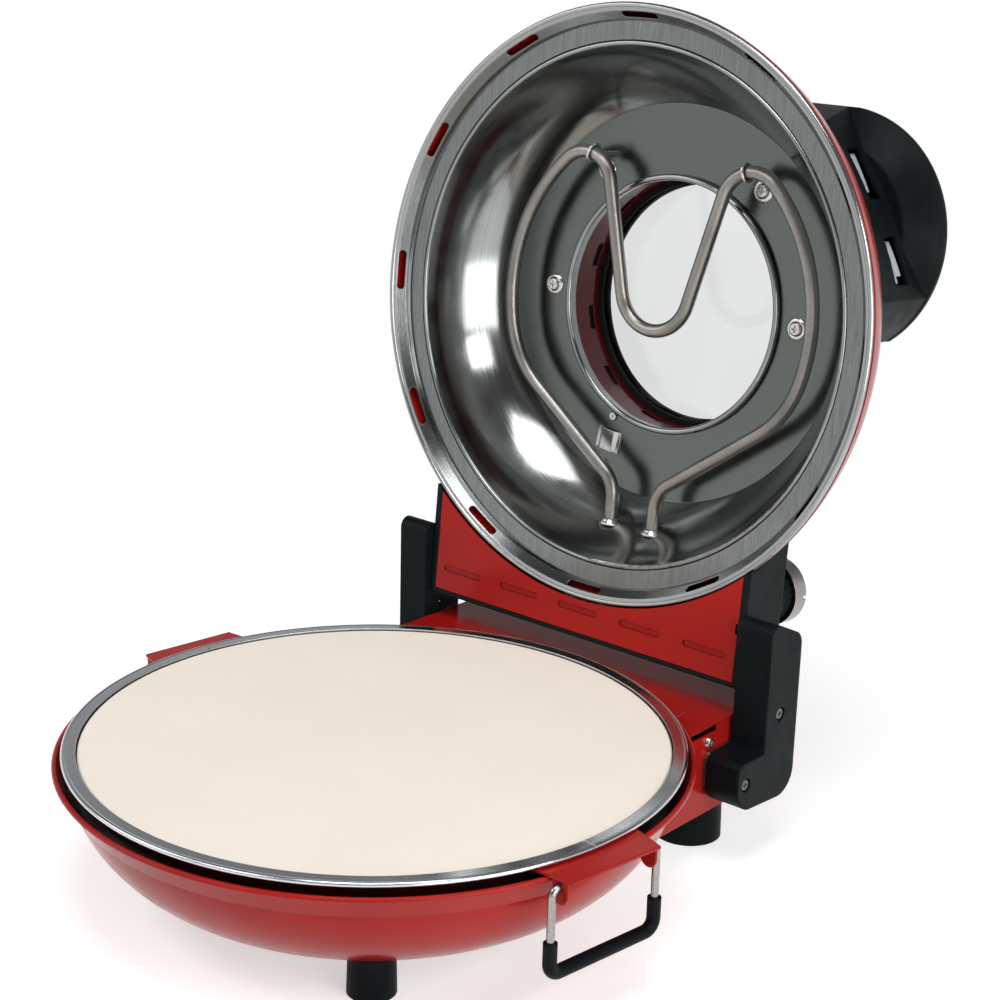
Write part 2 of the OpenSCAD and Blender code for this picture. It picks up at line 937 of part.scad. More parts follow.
// Side outline of a hinge cover, drawn in by "inset"
module cover_outline(inset) {
    nose = [cover_front + cover_front_r, cover_top - cover_front_r];
    back = [cover_rear - cover_rear_r, cover_top - cover_front_r - cover_slope];
    heel = [cover_rear - cover_heel_r, cover_low + cover_heel_r];
    sole = [cover_front - cover_toe + cover_sole_r, cover_low + cover_sole_r + 2];
    tip = [cover_front - cover_toe + cover_tip_r, toe_top - cover_tip_r];
    a = touch_angle(nose, cover_front_r, back, cover_rear_r);
    b = touch_angle(heel, cover_heel_r, sole, cover_sole_r);
    way_a = [cos(a), sin(a)];
    way_b = [cos(b), sin(b)];
    polygon([
        [cover_front + inset, nose[1]],
        nose + (cover_front_r - inset) * way_a,
        back + (cover_rear_r - inset) * way_a,
        [cover_rear - inset, back[1]],
        [cover_rear - inset, heel[1]],
        heel + (cover_heel_r - inset) * way_b,
        sole + (cover_sole_r - inset) * way_b,
        [cover_front - cover_toe + inset, sole[1]],
        [cover_front - cover_toe + inset, tip[1]],
        [tip[0], toe_top - inset],
        [cover_front + inset, toe_top - inset]
    ]);
    translate(nose)
    circle(cover_front_r - inset);
    translate(back)
    circle(cover_rear_r - inset);
    translate(heel)
    circle(cover_heel_r - inset);
    translate(sole)
    circle(cover_sole_r - inset);
    translate(tip)
    circle(cover_tip_r - inset);
}

// Screw places on the outer face of a hinge cover, and where each column starts
high_screw_back = 7.2;
high_screw_drop = 19;
low_screw_back = 37.1;
low_screw_drop = 51.8;
cover_screw_high = [hinge_back - high_screw_back, hinge_h - high_screw_drop];
cover_screw_low = [hinge_back - low_screw_back, hinge_h - low_screw_drop];

// Hinge brackets: a plate on the side wall, a step outwards and an arm up to the pin
bracket_x = cover_in + cover_skin + 4 * rest_gap;
bracket_w = 2.7;
wall_plate_over = 6.3;
wall_plate_l = 48;
wall_plate_h = 21;
wall_plate_low = toe_top - 20;
arm_over = 4.8;
arm_l = 22;
arm_step_h = 6;
arm_low = wall_plate_low + wall_plate_h - arm_step_h;
arm_top = hinge_h + arm_step_h;
pin_eye_r = 9;
pin_play = 0.4;
pin_head_h = 2.5;
pin_head_over = 1.5;

module hinge_cover(side) {
    color(black)
    place_base()
    mirror([side > 0 ? 0 : 1, 0, 0])
    difference() {
        union() {
            difference() {
                translate([cover_in, 0, 0])
                rotate([90, 0, 90])
                linear_extrude(cover_w)
                cover_outline(0);
                translate([cover_in + cover_skin, 0, 0])
                rotate([90, 0, 90])
                linear_extrude(cover_w - cover_skin - cover_t)
                cover_outline(cover_t);
                translate([cover_in - cut, cover_front + cover_t, cover_low + cover_window_low])
                cube([
                    2 * cut + cover_skin,
                    cover_depth - 2 * cover_t - 2 * rest_gap,
                    shelf_low - cover_low - cover_window_low
                ]);
            }
            translate([bracket_x + bracket_w + rest_gap, cover_screw_high[0], cover_screw_high[1]])
            rotate([0, 90, 0])
            cylinder(h = cover_in + cover_w - bracket_x - bracket_w - cut, r = column_r);
            translate([cover_in, cover_screw_low[0], cover_screw_low[1]])
            rotate([0, 90, 0])
            cylinder(h = cover_w - cut, r = column_r);
        }
        for (place = [cover_screw_high, cover_screw_low])
            translate([0, place[0], place[1]])
            rotate([0, 90, 0]) {
                cylinder(h = 2 * cover_in, r = column_bore_r);
                translate([0, 0, cover_in + cover_w - column_sink])
                cylinder(h = 2 * column_sink, r = column_sink_r);
            }
        translate([0, hinge_back, hinge_h])
        rotate([0, 90, 0])
        cylinder(h = bracket_x, r = pin_d / 2 + pin_play);
    }
}

module hinge_cover_left() {
    hinge_cover(-1);
}

module hinge_cover_right() {
    hinge_cover(1);
}

module hinge_bracket(side) {
    wall_x = housing_half + rest_gap;
    color(steel)
    place_base()
    mirror([side > 0 ? 0 : 1, 0, 0])
    difference() {
        union() {
            translate([wall_x, hinge_back + wall_plate_over - wall_plate_l, wall_plate_low])
            cube([cover_in - rest_gap - wall_x, wall_plate_l, wall_plate_h]);
            translate([wall_x, hinge_back + arm_over - arm_l, arm_low])
            cube([bracket_x + bracket_w - wall_x, arm_l, arm_step_h]);
            translate([bracket_x, hinge_back + arm_over - arm_l, arm_low])
            cube([bracket_w, arm_l, arm_top - arm_low]);
            translate([bracket_x, hinge_back - pin_d / 2, hinge_h])
            rotate([0, 90, 0])
            cylinder(h = bracket_w, r = pin_eye_r);
        }
        translate([0, hinge_back, hinge_h])
        rotate([0, 90, 0])
        cylinder(h = 2 * bracket_x, r = pin_d / 2 + pin_gap);
        for (place = [cover_screw_high, cover_screw_low])
            translate([0, place[0], place[1]])
            rotate([0, 90, 0])
            cylinder(h = 2 * bracket_x, r = wall_hole_r);
    }
}

module hinge_bracket_left() {
    hinge_bracket(-1);
}

module hinge_bracket_right() {
    hinge_bracket(1);
}

// Outer half width of the lid's hinge box and inner face of its cheeks
panel_press = 0.7;
panel_inset = 3;
panel_slot_step = 45;
panel_slot_y = 175.5;
panel_notch = 6;
box_t = 2.5;
knob_play = 0.5;
lid_block_w = 44;
lid_block_h = 18;
lid_block_y = 172.3;
lead_bend_y = 149;
lead_bend_d = 22;
lead_end_d = 20;

// Thermostat behind the knob
thermostat_low = 13;
thermostat_w = 23;
thermostat_l = 30;
thermostat_x = 10;
thermostat_y = 4;
shaft_low = 22;
box_half = cover_in - move_gap;
cheek_in = box_half - cheek_t;

module hinge_pins() {
    color(bright)
    place_base()
    for (side = [0, 1])
        mirror([side, 0, 0])
        translate([0, hinge_back, hinge_h])
        rotate([0, 90, 0]) {
            translate([0, 0, cheek_in - move_gap - pin_head_h])
            cylinder(h = pin_head_h, r = pin_d / 2 + pin_head_over);
            translate([0, 0, cheek_in - cut])
            cylinder(h = bracket_x + bracket_w + pin_head_over - cheek_in + cut, r = pin_d / 2);
        }
}

module cover_screws() {
    color(steel)
    place_base()
    for (side = [0, 1])
        mirror([side, 0, 0])
        for (place = [[cover_screw_high, high_shank_l], [cover_screw_low, low_shank_l]])
            translate([cover_in + cover_w - cover_head_in, place[0][0], place[0][1]])
            rotate([0, -90, 0])
            screw(cover_head_r, cover_head_h, thin_shank_r, place[1]);
}

module housing_screws() {
    color(bright)
    place_base()
    for (side = [0, 1])
        mirror([side, 0, 0])
        translate([housing_half - sheet_t + wall_head_out, wall_screw_y, wall_screw_z])
        rotate([0, -90, 0])
        screw(wall_head_r, wall_head_h, thin_shank_r, wall_shank_l);
}

module terminal_block() {
    color(ceramic)
    place_base()
    translate([-block_w / 2, block_y, housing_floor + sheet_t])
    difference() {
        cube([block_w, block_t, block_h]);
        for (k = [0 : block_bores - 1])
            translate([(k + 0.5) * block_step, -cut, block_bore_up])
            rotate([-90, 0, 0])
            cylinder(h = block_t - 2 * cut, r = block_bore_r);
    }
}

module base_leads() {
    start_y = low_end_y + joint_lap + lead_gap;
    color(copper)
    place_base()
    for (side = [-1, 1]) {
        a = [side * terminal_x, start_y, low_loop_h];
        b = [side * terminal_x, start_y + lead_start, low_loop_h];
        c = [side * block_bore_x, block_y - lead_start, block_bore_z];
        d = [side * block_bore_x, block_y + 2 * block_t / 3, block_bore_z];
        strut(a, b, lead_r);
        strut(b, c, lead_r);
        strut(c, d, lead_r);
        for (joint = [b, c])
            translate(joint)
            sphere(lead_ball_r);
    }
}

module cord_gland() {
    color(black)
    place_base()
    translate([gland_x, housing_back, gland_z])
    rotate([90, 0, 0])
    difference() {
        union() {
            translate([0, 0, -gland_flange_t])
            cylinder(h = gland_flange_t, r = gland_flange_r);
            translate([0, 0, -cut])
            cylinder(h = gland_l, r = gland_r);
        }
        cylinder(h = 4 * gland_l, r = gland_bore_r, center = true);
    }
}

// Filled half section of the dome, grown outwards, from the height "low" upwards
module dome_section(grow, low) {
    translate([0, low])
    square([dome_arc[0], dome_h + grow - low]);
    intersection() {
        translate(dome_arc)
        circle(dome_round + grow);
        translate([dome_arc[0], low])
        square([dome_round + grow, dome_h + grow - low]);
    }
}

// Solid as large as the lid, for cutting the parts around it
module lid_solid(grow) {
    rotate_extrude()
    dome_section(grow, dome_low);
    translate([0, 0, -2 * cut])
    cylinder(h = dome_low + 3 * cut, r = lid_r + grow);
}

// Places of the screws through the reflector, seen from above the closed lid
side_screw_x = 87.3;
high_screw_x = 55.4;
high_screw_y = -73;
side_screws = [[side_screw_x, 0], [-side_screw_x, 0]];
high_screws = [[high_screw_x, high_screw_y], [-high_screw_x, high_screw_y]];
screw_places = concat(side_screws, high_screws);
clip_screw_near = [-32.6, 72.5];
clip_screw_far = [-36.6, 102];
small_screw_places = [clip_screw_near, clip_screw_far];
clip_middle = (clip_screw_near + clip_screw_far) / 2;
clip_line = clip_screw_far - clip_screw_near;
clip_line_angle = atan2(clip_line[1], clip_line[0]);
plate_shank_r = 1.9;
plate_head_r = 4;
plate_head_h = 2.4;
plate_bore_r = 2.2;
clip_shank_r = 1.4;
clip_head_r = 2.8;
clip_head_h = 1.8;
clip_shank_l = 6;
clip_bore_r = 1.6;
clip_w = 17;
clip_l = 13;
clip_foot = 2;
clip_rise = 2.6;
cutout_r = 8;
cutout_h = 6;
cutout_t = 1.5;
terminal_y = 139.9;
leg_play = 0.5;
lead_hole_d = 20;
lead_hole_r = 3;

module lid_dome() {
    color(bowl_red)
    place_lid()
    difference() {
        rotate_extrude()
        difference() {
            dome_section(0, dome_low);
            dome_section(-sheet_t, dome_low - cut);
        }
        cylinder(h = 2 * dome_h, r = neck_out_r + rest_gap);
        for (place = screw_places)
            translate(place)
            cylinder(h = 2 * dome_h, r = plate_bore_r + rest_gap);
        for (side = [-1, 1])
            translate([side * terminal_x, terminal_y, lead_hole_d])
            rotate([-90, 0, 0])
            cylinder(h = lid_r - terminal_y + cut, r = lead_hole_r);
    }
}

module lid_rim() {
    color(bright)
    place_lid()
    difference() {
        rotate_extrude()
        union() {
            polygon([
                [rim_fold_out, rim_edge_z + bright_t],
                [rim_wall_out + bright_t / 2, rim_wall_z + bright_t],
                [rim_wall_in + bright_t, rim_step_z + bright_t / 2],
                [rim_band_out + bright_t, rim_band_z + bright_t],
                [rim_band_in, rim_band_z + bright_t],
                [rim_band_in, rim_band_z],
                [rim_band_out, rim_band_z],
                [rim_wall_in, rim_step_z],
                [rim_wall_out, rim_wall_z],
                [rim_fold_out, rim_edge_z]
            ]);
            translate([lid_r - rim_bead, rim_bead])
            circle(rim_bead);
        }
        for (k = [0 : rim_slots - 1])
            rotate([0, 0, -90 + k * 360 / rim_slots])
            translate(rim_slot_place)
            rotate([0, rim_slot_tilt, 0])
            rotate([0, 0, 90])
            slot(rim_slot_l, rim_slot_w, 4 * rim_bead);
    }
}

// Filled half section of the reflector, grown outwards
module reflector_section(grow) {
    translate([0, reflector_low])
    square([reflector_arc[0], plate_depth + grow - reflector_low]);
    intersection() {
        translate(reflector_arc)
        circle(reflector_round + grow);
        translate([reflector_arc[0], reflector_low])
        square([reflector_round + grow, plate_depth + grow - reflector_low]);
    }
}

module lid_reflector() {
    color(steel)
    place_lid()
    difference() {
        rotate_extrude()
        union() {
            difference() {
                intersection() {
                    reflector_section(bright_t);
                    translate([0, rim_band_z + bright_t])
                    square([lid_r, dome_h]);
                }
                reflector_section(0);
            }
            translate([reflector_low_r + lip_bead_r / 2 - 0.2, rim_band_z + bright_t])
            circle(lip_bead_r);
        }
        cylinder(h = 2 * dome_h, r = window_r + rest_gap);
        for (place = screw_places)
            translate(place)
            cylinder(h = 2 * dome_h, r = plate_bore_r);
        for (place = small_screw_places)
            translate(place)
            cylinder(h = 2 * dome_h, r = clip_bore_r);
        for (side = [-1, 1])
            translate([side * terminal_x, loop_r, loop_depth])
            rotate([-90, 0, 0])
            cylinder(h = lid_r - loop_r, r = tube_d / 2 + leg_play);
    }
}

module window_neck() {
    color(dark_red)
    place_lid()
    difference() {
        union() {
            translate([0, 0, neck_low])
            cylinder(h = neck_top - neck_low, r = neck_out_r);
            translate([0, 0, dome_h + rest_gap])
            cylinder(h = sheet_t, r = neck_out_r + neck_flange);
        }
        cylinder(h = 2 * dome_h, r = neck_in_r);
        for (k = [0 : neck_vents - 1])
            rotate([0, 0, (k + 0.5) * 360 / neck_vents])
            translate([neck_in_r, 0, neck_top - neck_vent_drop])
            cube([4 * neck_flange, neck_vent_l, neck_vent_h], center = true);
    }
}

module window_ring() {
    color(bright)
    place_lid()
    rotate_extrude()
    union() {
        translate([window_r, plate_depth - ring_roll - rest_gap])
        circle(ring_roll);
        translate([window_r - bright_t, plate_depth - ring_roll])
        square([bright_t, 3 * ring_roll]);
    }
}

module glass_gasket() {
    color(black)
    place_lid()
    translate([0, 0, neck_top + rest_gap])
    difference() {
        cylinder(h = gasket_t, r = glass_r);
        translate([0, 0, -cut])
        cylinder(h = gasket_t + 2 * cut, r = glass_clear_d / 2 + cut);
    }
}

module window_glass() {
    color(glass_clear)
    place_lid()
    translate([0, 0, glass_depth])
    cylinder(h = glass_t, r = glass_r);
}

// Plan of the handle's skirt, drawn in by "inset"
module skirt_plan(inset) {
    intersection() {
        translate([skirt_centre[0], -skirt_centre[1]])
        circle(skirt_round - inset);
        translate([-skirt_centre[0], -skirt_centre[1]])
        circle(skirt_round - inset);
        union() {
            for (side = [-1, 1])
                translate([side * lip_x, -lip_u])
                circle(lip_round - flare_step - inset);
            translate([-block_half, -handle_front])
            square([2 * block_half, handle_front + handle_back]);
        }
    }
}

// Handle without its openings, drawn in by "inset"
module handle_form(inset) {
    top = lip_top_d - inset;
    low = crease_depth + inset;
    difference() {
        union() {
            translate([0, 0, dome_h / 2])
            linear_extrude(top - flare_step - dome_h / 2)
            skirt_plan(inset);
            for (side = [-1, 1])
                translate([side * lip_x, -lip_u, 0])
                rotate_extrude()
                polygon([
                    [0, low],
                    [lip_round - flare_w - inset, low],
                    [lip_round - inset, lip_depth - inset / 3],
                    [lip_round - inset, top],
                    [0, top]
                ]);
            translate([-block_half, -handle_front, low])
            cube([2 * block_half, handle_front + handle_back, top - low]);
        }
        translate([-lid_r, -handle_front + inset - lid_r, 0])
        cube([2 * lid_r, lid_r, 2 * lip_top_d]);
        translate([-lid_r, -handle_front + inset, lip_depth])
        rotate([front_lean, 0, 0])
        translate([0, -lid_r, -lid_r])
        cube([2 * lid_r, lid_r, lid_r]);
        translate([-lid_r, handle_back - inset, 0])
        cube([2 * lid_r, lid_r, 2 * lip_top_d]);
    }
}

// Hollow inside the handle, around its screw columns and its finger recess
module handle_hollow() {
    difference() {
        handle_form(handle_t);
        cylinder(h = 2 * lip_top_d, r = bezel_r);
        translate([-grip_w / 2 - handle_t, -lid_r, 0])
        cube([grip_w + 2 * handle_t, lid_r - grip_back + handle_t, crease_depth + handle_t]);
    }
    difference() {
        cylinder(h = bezel_low, r = bezel_r - handle_t);
        translate([0, 0, -cut])
        cylinder(h = 2 * bezel_low, r = glass_r + handle_t);
        for (place = screw_places)
            translate([place[0], place[1], -cut])
            cylinder(h = 2 * bezel_low, r = handle_column_r);
    }
}

module lid_handle() {
    color(black)
    place_lid()
    difference() {
        union() {
            handle_form(0);
            translate([0, 0, dome_h / 2])
            cylinder(h = bezel_low + handle_t - dome_h / 2, r = bezel_r);
        }
        handle_hollow();
        lid_solid(rest_gap);
        translate([-grip_w / 2, -lid_r, grip_low])
        cube([grip_w, lid_r - grip_back, crease_depth - grip_low]);
        translate([0, 0, -cut])
        cylinder(h = bezel_low + cut, r = glass_r + rest_gap);
        translate([0, 0, -cut])
        cylinder(h = dome_h + sheet_t + 3 * rest_gap + cut, r = neck_out_r + neck_flange + rest_gap);
        translate([0, 0, -cut])
        cylinder(h = 2 * lip_top_d, r = glass_clear_d / 2);
        translate([0, 0, bezel_low + handle_t])
        cylinder(h = lip_top_d, r = bezel_r - handle_t);
        for (place = screw_places)
            translate([place[0], place[1], -cut])
            cylinder(h = bezel_low, r = plate_bore_r - rest_gap);
        for (side = [0, 1])
            mirror([side, 0, 0])
            for (vent = handle_vents)
                translate([vent[0], vent[1], crease_depth - handle_t - vent_h / 2])
                rotate([0, 0, vent[2]])
                cube([vent[3], 4 * handle_t, vent_h], center = true);
    }
}

// Course of the upper element, half of it, seen from below
run_way = [cos(run_angle), sin(run_angle)];
run_side = [sin(run_angle), -cos(run_angle)];
turn_y = 118;
run_turn = [terminal_x + terminal_bend, -turn_y];
run_start = run_turn - terminal_bend * run_side;
run_off = run_start * run_side;
join_along = sqrt(pow(loop_r - join_bend, 2) - pow(run_off - join_bend, 2));
join_centre = (run_off - join_bend) * run_side + join_along * run_way;
join_angle = atan2(join_centre[1], join_centre[0]);
run_end = run_off * run_side + join_along * run_way;
mid_y = 10;
mid_centre = [0, mid_y];
leg_side = [cos(leg_lean), -sin(leg_lean)];
leg_way = [sin(leg_lean), cos(leg_lean)];
leg_start = mid_centre + mid_bend * leg_side;
leg_off = leg_start * leg_side;
clip_along = sqrt(pow(loop_r - clip_bend, 2) - pow(leg_off + clip_bend, 2));
clip_centre = (leg_off + clip_bend) * leg_side + clip_along * leg_way;
clip_turn = atan2(clip_centre[1], clip_centre[0]);
leg_end = leg_off * leg_side + clip_along * leg_way;

clip_place_angle = 105;
clip_wire_r = 1;

// Level point as a point in space
function level(p) = [p[0], p[1], 0];

module upper_element() {
    tube_r = tube_d / 2;
    color(steel)
    place_lid()
    mirror([0, 1, 0])
    translate([0, 0, loop_depth]) {
        bend(level(mid_centre), mid_bend, 180 + leg_lean, 360 - leg_lean, tube_r);
        for (side = [0, 1])
            mirror([side, 0, 0]) {
                run([terminal_x, -terminal_y, 0], level([terminal_x, run_turn[1]]));
                bend(level(run_turn), terminal_bend, 90 + run_angle, 180, tube_r);
                run(level(run_start), level(run_end));
                bend(level(join_centre), join_bend, run_angle - 90, join_angle, tube_r);
                loop(loop_r, join_angle, clip_turn);
                bend(level(clip_centre), clip_bend, clip_turn, 180 - leg_lean, tube_r);
                run(level(leg_start), level(leg_end));
            }
    }
}

module element_clips() {
    loop_out = tube_d / 2 + clip_wire_r + 2 * rest_gap;
    color(bright)
    place_lid()
    mirror([0, 1, 0])
    for (side = [0, 1])
        mirror([side, 0, 0])
        translate(level(clip_centre))
        rotate([0, 0, clip_place_angle])
        translate([clip_bend, 0, loop_depth]) {
            rotate([90, 0, 0])
            rotate_extrude()
            translate([loop_out, 0])
            circle(clip_wire_r);
            translate([0, 0, loop_out])
            cylinder(h = plate_depth - loop_depth - loop_out, r = clip_wire_r);
        }
}

module plate_screws() {
    color(bright)
    place_lid()
    for (place = screw_places)
        translate([place[0], place[1], plate_depth - plate_head_h])
        screw(plate_head_r, plate_head_h, plate_shank_r, bezel_low - plate_depth - handle_t);
}

module sensor_clip() {
    color(bright)
    place_lid()
    translate([clip_middle[0], clip_middle[1], plate_depth])
    rotate([0, 0, clip_line_angle])
    rotate([90, 0, 90])
    linear_extrude(clip_l, center = true)
    polygon([
        [-clip_w / 2, 0],
        [-clip_w / 2, -bright_t],
        [-clip_w / 2 + clip_foot, -bright_t],
        [-clip_w / 4, -clip_rise],
        [clip_w / 4, -clip_rise],
        [clip_w / 2 - clip_foot, -bright_t],
        [clip_w / 2, -bright_t],
        [clip_w / 2, 0],
        [clip_w / 2 - clip_foot, 0],
        [clip_w / 4, bright_t - clip_rise],
        [-clip_w / 4, bright_t - clip_rise],
        [-clip_w / 2 + clip_foot, 0]
    ]);
}

module sensor_screws() {
    color(bright)
    place_lid()
    for (place = small_screw_places)
        translate([place[0], place[1], plate_depth - clip_head_h])
        screw(clip_head_r, clip_head_h, clip_shank_r, clip_shank_l);
}

module thermal_cutout() {
    color(black)
    place_lid()
    translate([clip_middle[0], clip_middle[1], plate_depth + bright_t + rest_gap])
    difference() {
        union() {
            cylinder(h = cutout_h, r = cutout_r);
            rotate([0, 0, clip_line_angle])
            translate([-norm(clip_line) / 2 - clip_bore_r - cut, -cutout_r / 2, 0])
            cube([norm(clip_line) + 2 * (clip_bore_r + cut), cutout_r, cutout_t]);
        }
        for (place = small_screw_places)
            translate([place[0] - clip_middle[0], place[1] - clip_middle[1], -cut])
            cylinder(h = 2 * cutout_h, r = clip_bore_r);
    }
}

module lid_panel() {
    panel_half = cheek_in - rest_gap;
    color(bowl_red)
    place_lid()
    difference() {
        translate([-panel_half, 0, -sheet_t])
        cube([2 * panel_half, box_back - panel_inset, sheet_t]);
        lid_solid(move_gap);
        for (k = [0 : panel_slots - 1])
            translate([(k - (panel_slots - 1) / 2) * panel_slot_step, panel_slot_y, -sheet_t])
            slot(panel_slot_l, panel_slot_w, 2 * panel_press);
        translate([panel_half - panel_notch / 4, knob_back + panel_notch, -2 * cut])
        cube([panel_notch, panel_notch, 4 * cut]);
    }
}

module lid_hinge_box() {
    color(black)
    place_lid()
    difference() {
        union() {
            translate([-box_half, 0, -sheet_t])
            cube([2 * box_half, box_back, box_depth + sheet_t]);
            translate([knob_x, knob_back, 0])
            cylinder(h = boss_top, r = boss_r);
        }
        lid_solid(rest_gap);
        translate([-cheek_in, 0, -2 * cut])
        cube([2 * cheek_in, box_back - box_t, box_depth - box_t + 2 * cut]);
        translate([-cheek_in, 0, -2 * cut])
        cube([2 * cheek_in, box_back - panel_inset + 2 * rest_gap, 2 * cut + rest_gap]);
        for (side = [-1, 1])
            translate([side * box_half, hinge_back, hinge_d])
            rotate([0, 90, 0])
            cylinder(h = 3 * cheek_t, r = pin_d / 2 + pin_gap, center = true);
        translate([knob_x, knob_back, 0]) {
            cylinder(h = boss_top - box_t, r = boss_r - box_t - knob_play);
            cylinder(h = 2 * boss_top, r = shaft_r + pin_gap);
        }
    }
}

module lid_terminal_block() {
    color(ceramic)
    place_lid()
    translate([-lid_block_w / 2, lid_block_y, box_depth - box_t - rest_gap - lid_block_h])
    cube([lid_block_w, block_t, lid_block_h]);
}

module lid_leads() {
    start_y = terminal_y + joint_lap + lead_gap;
    color(copper)
    place_lid()
    for (side = [-1, 1]) {
        a = [side * terminal_x, start_y, loop_depth];
        b = [side * terminal_x, start_y + lead_start, loop_depth - lead_start];
        c = [side * terminal_x, lead_bend_y, lead_bend_d];
        d = [side * terminal_x, lid_block_y - rest_gap, lead_end_d];
        strut(a, b, lead_r);
        strut(b, c, lead_r);
        strut(c, d, lead_r);
        for (joint = [b, c])
            translate(joint)
            sphere(lead_ball_r);
    }
}

module thermostat() {
    color(ceramic)
    place_lid()
    difference() {
        translate([knob_x - thermostat_x, knob_back - thermostat_y, thermostat_low])
        cube([thermostat_w, thermostat_l, box_depth - box_t - rest_gap - thermostat_low]);
        translate([knob_x, knob_back, shaft_low])
        cylinder(h = boss_top, r = shaft_r + pin_gap);
    }
}

module thermostat_shaft() {
    low = shaft_low + move_gap;
    color(bright)
    place_lid()
    translate([knob_x, knob_back, low])
    cylinder(h = knob_low + knob_skirt_h - low, r = shaft_r);
}

module knob_body() {
    color(black)
    place_lid()
    translate([knob_x, knob_back, knob_low])
    difference() {
        cylinder(h = knob_h, r = knob_core_r);
        translate([0, 0, -cut])
        cylinder(h = knob_skirt_h + cut + rest_gap, r = shaft_r + rest_gap / 2);
    }
}

module knob_ring() {
    color(bright)
    place_lid()
    translate([knob_x, knob_back, knob_low + knob_skirt_h])
    difference() {
        cylinder(h = knob_h - knob_skirt_h - cut, r = knob_d / 2);
        translate([0, 0, -cut])
        cylinder(h = 2 * knob_h, r = knob_core_r + rest_gap);
        translate([knob_core_r, -knob_mark_w / 2, knob_h - knob_skirt_h - 2 * knob_mark_w])
        cube([knob_d, knob_mark_w, knob_h]);
    }
}

base_bowl();
bottom_cover();
bowl_liner();
stone_tray();
stone_ring_front();
stone_ring_rear();
pizza_stone();
bail_bracket_left();
bail_bracket_right();
lower_element();
lower_element_clips();
rear_housing();
rear_shelf();
housing_floor_plate();
front_feet();
rear_feet();
foot_screws();
hinge_cover_left();
hinge_cover_right();
hinge_bracket_left();
hinge_bracket_right();
hinge_pins();
cover_screws();
housing_screws();
terminal_block();
base_leads();
cord_gland();
bail_wire_left();
bail_grip_left();
bail_wire_right();
bail_grip_right();
lid_dome();
lid_rim();
lid_reflector();
window_neck();
window_ring();
window_glass();
glass_gasket();
lid_handle();
upper_element();
element_clips();
plate_screws();
sensor_clip();
sensor_screws();
thermal_cutout();
lid_panel();
lid_hinge_box();
lid_terminal_block();
lid_leads();
thermostat();
thermostat_shaft();
knob_body();
knob_ring();
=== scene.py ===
import json
import math
import bpy
import bmesh
from mathutils import Matrix, Vector


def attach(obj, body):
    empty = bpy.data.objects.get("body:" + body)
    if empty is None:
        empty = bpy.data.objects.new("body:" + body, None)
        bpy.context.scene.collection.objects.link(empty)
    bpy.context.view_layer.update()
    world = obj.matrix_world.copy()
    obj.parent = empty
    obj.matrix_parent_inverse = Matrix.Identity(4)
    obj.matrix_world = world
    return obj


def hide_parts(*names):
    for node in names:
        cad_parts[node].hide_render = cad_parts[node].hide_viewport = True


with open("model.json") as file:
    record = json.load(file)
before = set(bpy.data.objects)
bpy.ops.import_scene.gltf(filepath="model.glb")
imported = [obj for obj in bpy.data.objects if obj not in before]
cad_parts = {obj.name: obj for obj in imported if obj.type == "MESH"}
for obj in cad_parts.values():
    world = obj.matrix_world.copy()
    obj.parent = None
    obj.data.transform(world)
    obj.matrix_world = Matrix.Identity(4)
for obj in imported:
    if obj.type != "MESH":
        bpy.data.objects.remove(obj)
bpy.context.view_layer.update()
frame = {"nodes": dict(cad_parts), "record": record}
nodes = frame["nodes"]

# Places shared with part.scad, in metres
MM = 0.001
SHIFT_Y = -0.07371
HINGE_BACK = 0.1827
HINGE_HEIGHT = 0.1035
RIM_HEIGHT = 0.088
OPEN = math.radians(-95.2)
TRAY_TURN = math.radians(-7.3)

# The axes that the lid, the tray and the base were drawn in
HINGE = Vector((0, HINGE_BACK + SHIFT_Y, HINGE_HEIGHT))
LID = (Matrix.Translation(HINGE) @ Matrix.Rotation(OPEN, 4, "X") @ Matrix.Translation(-HINGE)
       @ Matrix.Translation((0, SHIFT_Y, RIM_HEIGHT)))
TRAY = Matrix.Translation((0, SHIFT_Y, 0)) @ Matrix.Rotation(TRAY_TURN, 4, "Z")
BASE = Matrix.Translation((0, SHIFT_Y, 0))
LID_INVERSE = LID.inverted()
TRAY_INVERSE = TRAY.inverted()
BASE_INVERSE = BASE.inverted()


